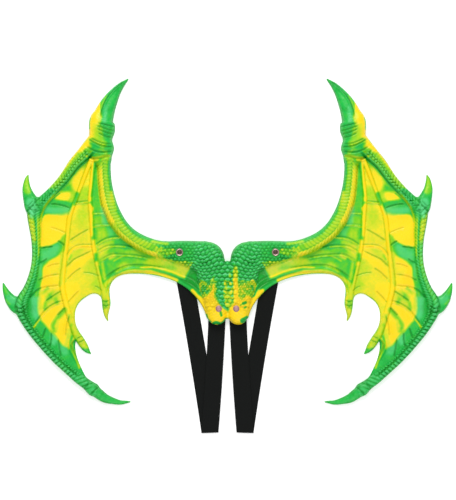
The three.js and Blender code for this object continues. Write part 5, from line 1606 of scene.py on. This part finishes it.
def elastic_material():
    """Woven elastic: lengthwise cords and crosswise picks on the strap's own UV, in millimetres."""
    finish = settings().finish
    pick_depth, shine, darkest = 0.5, 0.22, 0.6
    material, nodes, links, surface = new_material("black_elastic")
    split = nodes.new("ShaderNodeSeparateXYZ")
    links.new(nodes.new("ShaderNodeUVMap").outputs["UV"], split.inputs[0])
    cords = wave_node(nodes, links, split.outputs["X"], CORD_PITCH)
    picks = wave_node(nodes, links, split.outputs["Y"], PICK_PITCH)
    weave = math_node(nodes, links, "MULTIPLY", cords, picks)
    height = math_node(nodes, links, "MULTIPLY_ADD", weave, pick_depth, cords)
    place = nodes.new("ShaderNodeTexCoord").outputs["Object"]
    fibres = noise_node(nodes, links, place, scale=900, detail=4, roughness=0.7)
    normal = bump_node(nodes, links, height, distance=0.00015)
    normal = bump_node(nodes, links, fibres, distance=0.0002, strength=0.6, after=normal)
    links.new(normal, surface.inputs["Normal"])
    # painted sheen: the weave's raised cords are lighter, and the fibres' noise varies the black at
    # random
    level = math_node(nodes, links, "MULTIPLY_ADD", height, shine, fibres)
    colour = colour_ramp(nodes, links, level, [
        (0.2, darkened(finish.elastic, darkest)), (0.8, finish.elastic)])
    links.new(colour, surface.inputs["Base Color"])
    set_inputs(surface, Roughness=0.85, Specular_IOR_Level=0.12)
    return material


def metal_material(name, colour, roughness, dark_middle=False):
    """Pale metal, worn unevenly in colour, gloss and bump. An eyelet's sunken eye takes painted
    shade, a dark colour that is not metal, by its own attribute."""
    darkest, uneven, smoother = 0.75, 0.3, 0.1
    material, nodes, links, surface = new_material(name)
    place = nodes.new("ShaderNodeTexCoord").outputs["Object"]
    wear = noise_node(nodes, links, place, scale=700, detail=4, roughness=0.6)
    base = colour_ramp(nodes, links, wear, [(0.3, darkened(colour, darkest)), (0.7, colour)])
    if dark_middle:
        eye = attribute_node(nodes, "eye")
        base = mixed(nodes, links, eye, base, tuple(settings().finish.eye))
        metallic = math_node(nodes, links, "SUBTRACT", 1.0, eye)
        links.new(metallic, surface.inputs["Metallic"])
    else:
        set_inputs(surface, Metallic=1.0)
    links.new(base, surface.inputs["Base Color"])
    grain = math_node(nodes, links, "MULTIPLY_ADD", wear, uneven, roughness - smoother)
    links.new(grain, surface.inputs["Roughness"])
    links.new(bump_node(nodes, links, wear, distance=0.0001), surface.inputs["Normal"])
    return material


def floor_material():
    """Pale floor finish with a hardly visible mottle, lit through a little as a light table is."""
    colour, darkest = settings().finish.floor, 0.985
    material, nodes, links, surface = new_material("pale_floor")
    place = nodes.new("ShaderNodeTexCoord").outputs["Object"]
    mottle = noise_node(nodes, links, place, scale=6)
    base = colour_ramp(nodes, links, mottle, [(0, darkened(colour, darkest)), (1, colour)])
    links.new(base, surface.inputs["Base Color"])
    set_inputs(surface, Roughness=0.9, Specular_IOR_Level=0.1,
               Emission_Color=(1, 1, 1, 1), Emission_Strength=FLOOR_GLOW)
    return material


def bowed_run(start, end, bow):
    """Plan curve from one place to another, bowed sideways by some length at its middle."""
    f = np.linspace(0, 1, RUN_STEPS + 1)[:, None]
    control = (start + end) / 2 + (2 * bow, 0)
    return (1 - f)**2 * start + 2 * f * (1 - f) * control + f**2 * end


def strap_route(side):
    """Middle line of a strap: down from the upper rivet, round the fold and back up to the lower.

    The outer run drops from under the lifted back to the floor by smoothstep, the fold is a half
    circle about the gap between the runs, and the inner run lies level on top."""
    upper, lower = ((side * place[0], place[1]) for place in rivet_places())
    lower = np.array([side * LOWER_STRAP_MIDDLE, lower[1]])
    upper = np.array(upper)
    bend = (STRAP_THICK + CLEARANCE) / 2
    strap_low, _ = node_box("left_strap")
    turn = np.array([side * STRAP_FOLD_OUT * HALF_SPAN, strap_low[1] + bend + STRAP_THICK / 2])
    outer = bowed_run(upper, turn, -side * OUTER_RUN_BOW)
    inner = bowed_run(turn, lower, -side * INNER_RUN_BOW)
    under, floor = STRAP_THICK * 1.5 + CLEARANCE, STRAP_THICK / 2
    share = np.linspace(0, 1, RUN_STEPS + 1)
    drop = smoothstep(*OUTER_RUN_RAMP, share)
    first = unit(outer[1] - outer[0])
    last = unit(inner[-1] - inner[-2])
    angle = np.linspace(0, math.pi, FOLD_STEPS + 1)[1:-1, None]
    fold = np.column_stack([np.repeat(turn[:1], len(angle)),
                            turn[1] - bend * np.sin(angle[:, 0]),
                            floor + bend * (1 - np.cos(angle[:, 0]))])
    route = np.vstack([
        [*(outer[0] - STRAP_END * first), under],
        np.column_stack([outer, under + (floor - under) * drop]),
        fold,
        np.column_stack([inner, np.full(len(inner), under)]),
        [*(inner[-1] + STRAP_END * last), under]])
    along = unit(unit(outer[-1] - outer[-2]) + unit(inner[1] - inner[0]))
    return route, np.array([*along, 0])


def unit(vector):
    """Vector of length 1 in the same direction."""
    return vector / np.linalg.norm(vector)


def folded_band(side):
    """Folded band: a flat section with rounded edges, carried along the route.

    Its sections stay parallel to the line that it is folded on, as the strap's own do. Returns
    points, polygons, the route, and how far across the band each corner of a section is."""
    route, along = strap_route(side)
    ahead = np.vstack([route[1:], route[-1:]])
    behind = np.vstack([route[:1], route[:-1]])
    out = np.cross(ahead - behind, along)
    out /= np.linalg.norm(out, axis=1)[:, None]
    angle = np.linspace(0, 2 * math.pi, SECTION_POINTS, endpoint=False)
    rounding = STRAP_THICK / 2
    sideways = (STRAP_WIDTH / 2 - rounding) * np.clip(STRAP_EDGE_SHARPNESS * np.cos(angle), -1, 1)
    sideways += rounding * np.cos(angle)
    outwards = rounding * np.sign(np.sin(angle)) * np.abs(np.sin(angle))**STRAP_EDGE_POWER
    points = (route[:, None] + sideways[None, :, None] * along
              + outwards[None, :, None] * out[:, None])
    count, ring = len(route), SECTION_POINTS
    i, k = np.meshgrid(np.arange(count - 1), np.arange(ring), indexing="ij")
    following = (k + 1) % ring
    walls = np.stack([i * ring + k, i * ring + following, (i + 1) * ring + following,
                      (i + 1) * ring + k], -1).reshape(-1, 4)
    polygons = walls.tolist()
    polygons += [list(range(ring))[::-1], list(range((count - 1) * ring, count * ring))]
    return points.reshape(-1, 3), polygons, route, sideways


def turned(profile, middle_x, middle_y):
    """Profile of radius and height turned round an upright axis; its ends on the axis are poles."""
    angle = np.linspace(0, 2 * math.pi, ROUND_STEPS, endpoint=False)
    radius, height = np.asarray(profile, float).T
    rings = np.stack([
        middle_x + np.outer(radius[1:-1], np.cos(angle)),
        middle_y + np.outer(radius[1:-1], np.sin(angle)),
        np.repeat(height[1:-1, None], ROUND_STEPS, axis=1)], -1).reshape(-1, 3)
    low, high = len(rings), len(rings) + 1
    points = np.vstack([rings, [middle_x, middle_y, height[0]], [middle_x, middle_y, height[-1]]])
    k = np.arange(ROUND_STEPS)
    ahead = (k + 1) % ROUND_STEPS
    polygons = []
    for ring in range(len(radius) - 3):
        start, end = ring * ROUND_STEPS, (ring + 1) * ROUND_STEPS
        polygons += np.column_stack([start + k, start + ahead, end + ahead, end + k]).tolist()
    last = (len(radius) - 3) * ROUND_STEPS
    polygons += np.column_stack([ahead, k, np.full(ROUND_STEPS, low)]).tolist()
    polygons += np.column_stack([last + k, last + ahead, np.full(ROUND_STEPS, high)]).tolist()
    return points, polygons


def eased(rows, steps):
    """Profile rows joined by a smooth curve."""
    return smooth_rows(rows, steps).tolist()


def shank_profile(seat, low):
    """Shank of a rivet, up from its bevelled foot to its head's seat."""
    bevel = 0.2
    return [(0, low), (SHANK_RADIUS - bevel, low), (SHANK_RADIUS, low + bevel),
            (SHANK_RADIUS, seat)]


def eyelet_profile(seat, top, low):
    """Upper rivet: shank, a rolled ring, and a sunken eye with a low burr in its middle."""
    rim = RIVET_SIZES["eyelet_radius"]
    eye = RIVET_SIZES["eye_radius"]
    under_rim, floor_height, floor_edge = 0.5, 0.9, 0.2
    floor = seat + floor_height
    ring = eased([(rim - under_rim, seat), (rim, seat + 0.5), (rim - 0.15, seat + 1.1),
                  (rim - 0.9, top - 0.15), ((rim + eye) / 2 + 0.1, top), (eye + 0.5, top - 0.3),
                  (eye, top - 0.9), (eye - floor_edge, floor)], PROFILE_STEPS)
    bottom = eased([(eye - floor_edge, floor), (eye - 0.8, floor - 0.15), (eye * 0.55, floor),
                    (eye * 0.4, floor + 0.25), (eye * 0.2, floor + 0.1)], ROUNDING_STEPS)
    return shank_profile(seat, low) + ring + bottom[1:] + [(0, floor + 0.05)]


def dome_profile(seat, top, low):
    """Lower rivet: shank and a domed cap with a thin rolled edge."""
    radius = RIVET_SIZES["dome_radius"]
    dome = eased([(radius - 0.4, seat), (radius, seat + 0.3), (radius - 0.05, seat + 0.6),
                  (radius - 0.45, seat + 0.8), (radius - 0.9, seat + 0.95),
                  (radius * 0.62, top - 0.35), (radius * 0.3, top - 0.06)], PROFILE_STEPS)
    return shank_profile(seat, low) + dome + [(0, top)]


def back_cap_profile(top):
    """Back cap on the floor: a flat disc with rounded edges, a shallow pressed ring and a hollow
    under its middle."""
    radius, edge, pressed, hollow = CAP_RADIUS, 0.4, 0.25, 0.15
    under = [(0, hollow), (radius * 0.4, hollow), (radius * 0.5, 0)]
    rim = eased([(radius - edge, 0), (radius, edge), (radius, top - edge), (radius - edge, top)],
                ROUNDING_STEPS)
    ring = [(radius * 0.62, top), (radius * 0.55, top - pressed), (radius * 0.45, top - pressed),
            (radius * 0.38, top)]
    return under + rim + ring + [(0, top)]


class MouldingSizes(bpy.types.PropertyGroup):
    """How finely the moulding is made"""

    pitch: bpy.props.FloatProperty(
        name="Mesh pitch", description="Side of the squares that the face is made of",
        default=0.00122, min=0.0008, unit="LENGTH")


class StageSizes(bpy.types.PropertyGroup):
    """Floor, camera and lights"""

    floor: bpy.props.FloatProperty(
        name="Floor", description="Side of the floor", default=14.0, unit="LENGTH")
    camera_height: bpy.props.FloatProperty(
        name="Camera height", description="Height of the camera over the floor", default=3.0,
        unit="LENGTH")
    lens: bpy.props.FloatProperty(
        name="Lens", description="Focal length on a sensor 36 mm wide", default=135.0)
    key: bpy.props.FloatProperty(
        name="Key light", description="Strength of the soft light over the top claws",
        default=50.0, unit="POWER")
    fill: bpy.props.FloatProperty(
        name="Fill", description="Strength of the light from all round", default=0.55)


def colour_property(name, description, colour):
    """Colour property with a linear default."""
    return bpy.props.FloatVectorProperty(
        name=name, description=description, default=colour, subtype="COLOR", min=0, max=1)


def linear(red, green, blue):
    """Linear colour of a screen colour from 0 to 255. With v being value / 255, it is v / 12.92
    for the darkest, and ((v + 0.055) / 1.055)^2.4 for all others."""
    return tuple((value / 255 / 12.92) if value < 11 else ((value / 255 + 0.055) / 1.055)**2.4
                 for value in (red, green, blue))


class FinishColours(bpy.types.PropertyGroup):
    """Colours of the foam's paint, the elastic, the metal and the floor"""

    deep_green: colour_property("Deep green", "Foam in the darkest places", linear(0, 152, 32))
    green: colour_property("Green", "Main colour of the bones", linear(20, 180, 68))
    light_green: colour_property("Light green", "Thin spray on green", linear(58, 189, 46))
    lime: colour_property("Lime", "Green and yellow half mixed", linear(106, 198, 14))
    yellow_green: colour_property("Yellow green", "Yellow over green", linear(164, 209, 10))
    pale_yellow: colour_property("Pale yellow", "Thin yellow", linear(217, 213, 28))
    yellow: colour_property("Yellow", "Main colour of the skin", linear(246, 215, 16))
    golden: colour_property("Golden", "Thick yellow", linear(249, 210, 0))
    # pale green that the painted sheen and the painted highlights turn the paint towards
    haze: colour_property("Haze", "Pale green where the last coat is thin", linear(104, 222, 150))
    elastic: colour_property("Elastic", "Black elastic", linear(22, 24, 23))
    eyelet: colour_property("Eyelet", "Ring of the upper rivets", linear(206, 180, 170))
    # painted shade of the eyelets' sunken eye
    eye: colour_property("Eye", "Sunken middle of the upper rivets", linear(70, 38, 30))
    cap: colour_property("Cap", "Lower rivets and back caps", linear(196, 156, 160))
    floor: colour_property("Floor", "Pale floor", linear(246, 246, 246))


class DragonWingsSettings(bpy.types.PropertyGroup):
    """All that the sidebar offers"""

    moulding: bpy.props.PointerProperty(type=MouldingSizes)
    stage: bpy.props.PointerProperty(type=StageSizes)
    finish: bpy.props.PointerProperty(type=FinishColours)


class DRAGONWINGS_OT_moulding(bpy.types.Operator):
    """Build both wings as one moulding of painted foam"""

    bl_idname = "dragon_wings.moulding"
    bl_label = "Foam moulding"

    def execute(self, context):
        points, polygons, face_count = moulding_half()
        half_count = len(points)
        points, polygons, free = both_wings(points, polygons)
        form = wing_form(np.abs(points[:, 0]), points[:, 1])
        on_face = np.concatenate([np.arange(half_count) < face_count,
                                  (np.arange(half_count) < face_count)[free]])
        depth, painted_highlight = (np.where(on_face, form[name], 0) for name in ("depth", "painted_highlight"))
        paint, haze, depth = wing_paint(points[:, 0], points[:, 1], depth, painted_highlight)
        paint = np.where(on_face, paint, BASE_PAINT)
        piece = new_piece("wing_foam", points, polygons, foam_material(),
                          smooth_to=FOAM_SMOOTH_TO, paint=paint, depth=depth, haze=haze)
        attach(piece, "root")
        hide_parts("wing_moulding")
        return {"FINISHED"}


class DRAGONWINGS_OT_straps(bpy.types.Operator):
    """Build the two folded elastic arm loops"""

    bl_idname = "dragon_wings.straps"
    bl_label = "Elastic straps"

    def execute(self, context):
        material = elastic_material()
        for hand, side in SIDES:
            points, polygons, route, sideways = folded_band(side)
            piece = new_piece(f"{hand}_elastic", points, polygons, material,
                              smooth_to=STRAP_SMOOTH_TO)
            steps = np.linalg.norm(np.diff(route, axis=0), axis=1)
            run = np.concatenate([[0], np.cumsum(steps)])
            flat = np.stack(np.broadcast_arrays(sideways[None, :], run[:, None]), -1)
            corner = np.empty(len(piece.data.loops), np.int32)
            piece.data.loops.foreach_get("vertex_index", corner)
            layer = piece.data.uv_layers.new(name="flat")
            layer.data.foreach_set("uv", flat.reshape(-1, 2)[corner].astype(np.float32).ravel())
            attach(piece, "root")
            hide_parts(f"{hand}_strap")
        return {"FINISHED"}


class DRAGONWINGS_OT_rivets(bpy.types.Operator):
    """Build the eyelets of the shoulders and the domed rivets of the lobes"""

    bl_idname = "dragon_wings.rivets"
    bl_label = "Rivets"

    def execute(self, context):
        finish = settings().finish
        eye_radius, eye_edge = RIVET_SIZES["eye_radius"], (0.3, -0.2)
        eyelet = metal_material("eyelet_metal", finish.eyelet, roughness=0.35, dark_middle=True)
        dome = metal_material("cap_metal", finish.cap, roughness=0.55)
        for hand, _ in SIDES:
            for label, profile, material, slot in (
                    ("upper", eyelet_profile, eyelet, "eyelet_metal"),
                    ("lower", dome_profile, dome, "cap_metal")):
                node = f"{hand}_{label}_rivet"
                low, high = node_box(node)
                middle = (low + high) / 2
                seat = RIVET_SEATS[label] + CLEARANCE
                points, polygons = turned(profile(seat, high[2], low[2]), *middle[:2])
                away = np.hypot(points[:, 0] - middle[0], points[:, 1] - middle[1])
                # where each eyelet's sunken eye takes its painted shade
                eye = smoothstep(eye_radius + eye_edge[0], eye_radius + eye_edge[1], away)
                piece = new_piece(f"{hand}_{label}_fixing", points, polygons, material,
                                  smooth_to=METAL_SMOOTH_TO, eye=eye)
                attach(piece, "root")
                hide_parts(node)
        return {"FINISHED"}


class DRAGONWINGS_OT_back_caps(bpy.types.Operator):
    """Build the flat caps that close the rivets on the back"""

    bl_idname = "dragon_wings.back_caps"
    bl_label = "Back caps"

    def execute(self, context):
        material = metal_material("back_cap_metal", settings().finish.cap, roughness=0.4)
        for hand, _ in SIDES:
            for label in ("upper", "lower"):
                node = f"{hand}_{label}_back_cap"
                low, high = node_box(node)
                middle = (low + high) / 2
                points, polygons = turned(back_cap_profile(high[2]), *middle[:2])
                piece = new_piece(f"{hand}_{label}_cap", points, polygons, material,
                                  smooth_to=METAL_SMOOTH_TO)
                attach(piece, "root")
                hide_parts(node)
        return {"FINISHED"}


class DRAGONWINGS_OT_stage(bpy.types.Operator):
    """Set up the floor, the soft light and the camera over the wings"""

    bl_idname = "dragon_wings.stage"
    bl_label = "Floor, light and camera"

    def execute(self, context):
        stage = settings().stage
        scene = context.scene
        half = stage.floor / 2 / MM
        corners = [(-half, -half, 0), (half, -half, 0), (half, half, 0), (-half, half, 0)]
        floor = new_piece("floor", corners, [(0, 1, 2, 3)], floor_material())
        world = bpy.data.worlds.new("soft_light")
        world.use_nodes = True
        set_inputs(world.node_tree.nodes["Background"], Color=(1, 1, 1, 1), Strength=stage.fill)
        scene.world = world
        for name, place, size, share in LAMPS:
            light = bpy.data.lights.new(name, "AREA")
            light.energy = stage.key * share
            light.shape = "DISK"
            light.size = size
            lamp = bpy.data.objects.new(name, light)
            lamp.location = place
            lamp.rotation_euler = (-Vector(place)).to_track_quat("-Z", "Y").to_euler()
            scene.collection.objects.link(lamp)
        camera_data = bpy.data.cameras.new("camera")
        camera_data.lens = stage.lens
        camera_data.sensor_width = SENSOR_WIDTH
        camera_data.clip_end = VIEW_END
        camera = bpy.data.objects.new("camera", camera_data)
        camera.location = (*CAMERA_AIM, stage.camera_height)
        scene.collection.objects.link(camera)
        scene.camera = camera
        scene.view_settings.view_transform = "Standard"
        return {"FINISHED"}


class VIEW3D_PT_dragon_wings(bpy.types.Panel):
    """Sizes and colours of the wings, and a button for each group of pieces"""

    bl_label = "Dragon wings"
    bl_space_type = "VIEW_3D"
    bl_region_type = "UI"
    bl_category = "Dragon wings"

    def draw(self, context):
        layout = self.layout
        values = context.scene.dragon_wings
        for group in (values.moulding, values.stage, values.finish):
            box = layout.box()
            for name in group.__annotations__:
                box.prop(group, name)
        for operator in OPERATORS:
            layout.operator(operator.bl_idname)


OPERATORS = (DRAGONWINGS_OT_stage, DRAGONWINGS_OT_moulding, DRAGONWINGS_OT_straps,
             DRAGONWINGS_OT_rivets, DRAGONWINGS_OT_back_caps)
CLASSES = (MouldingSizes, StageSizes, FinishColours, DragonWingsSettings, *OPERATORS,
           VIEW3D_PT_dragon_wings)


def register():
    """Registers the classes and the settings of the scene."""
    for cls in CLASSES:
        bpy.utils.register_class(cls)
    bpy.types.Scene.dragon_wings = bpy.props.PointerProperty(type=DragonWingsSettings)


def unregister():
    """Takes back what register did."""
    del bpy.types.Scene.dragon_wings
    for cls in reversed(CLASSES):
        bpy.utils.unregister_class(cls)


def main():
    """Builds everything."""
    register()
    for operator in OPERATORS:
        family, action = operator.bl_idname.split(".")
        getattr(getattr(bpy.ops, family), action)()


if __name__ == "__main__":
    main()
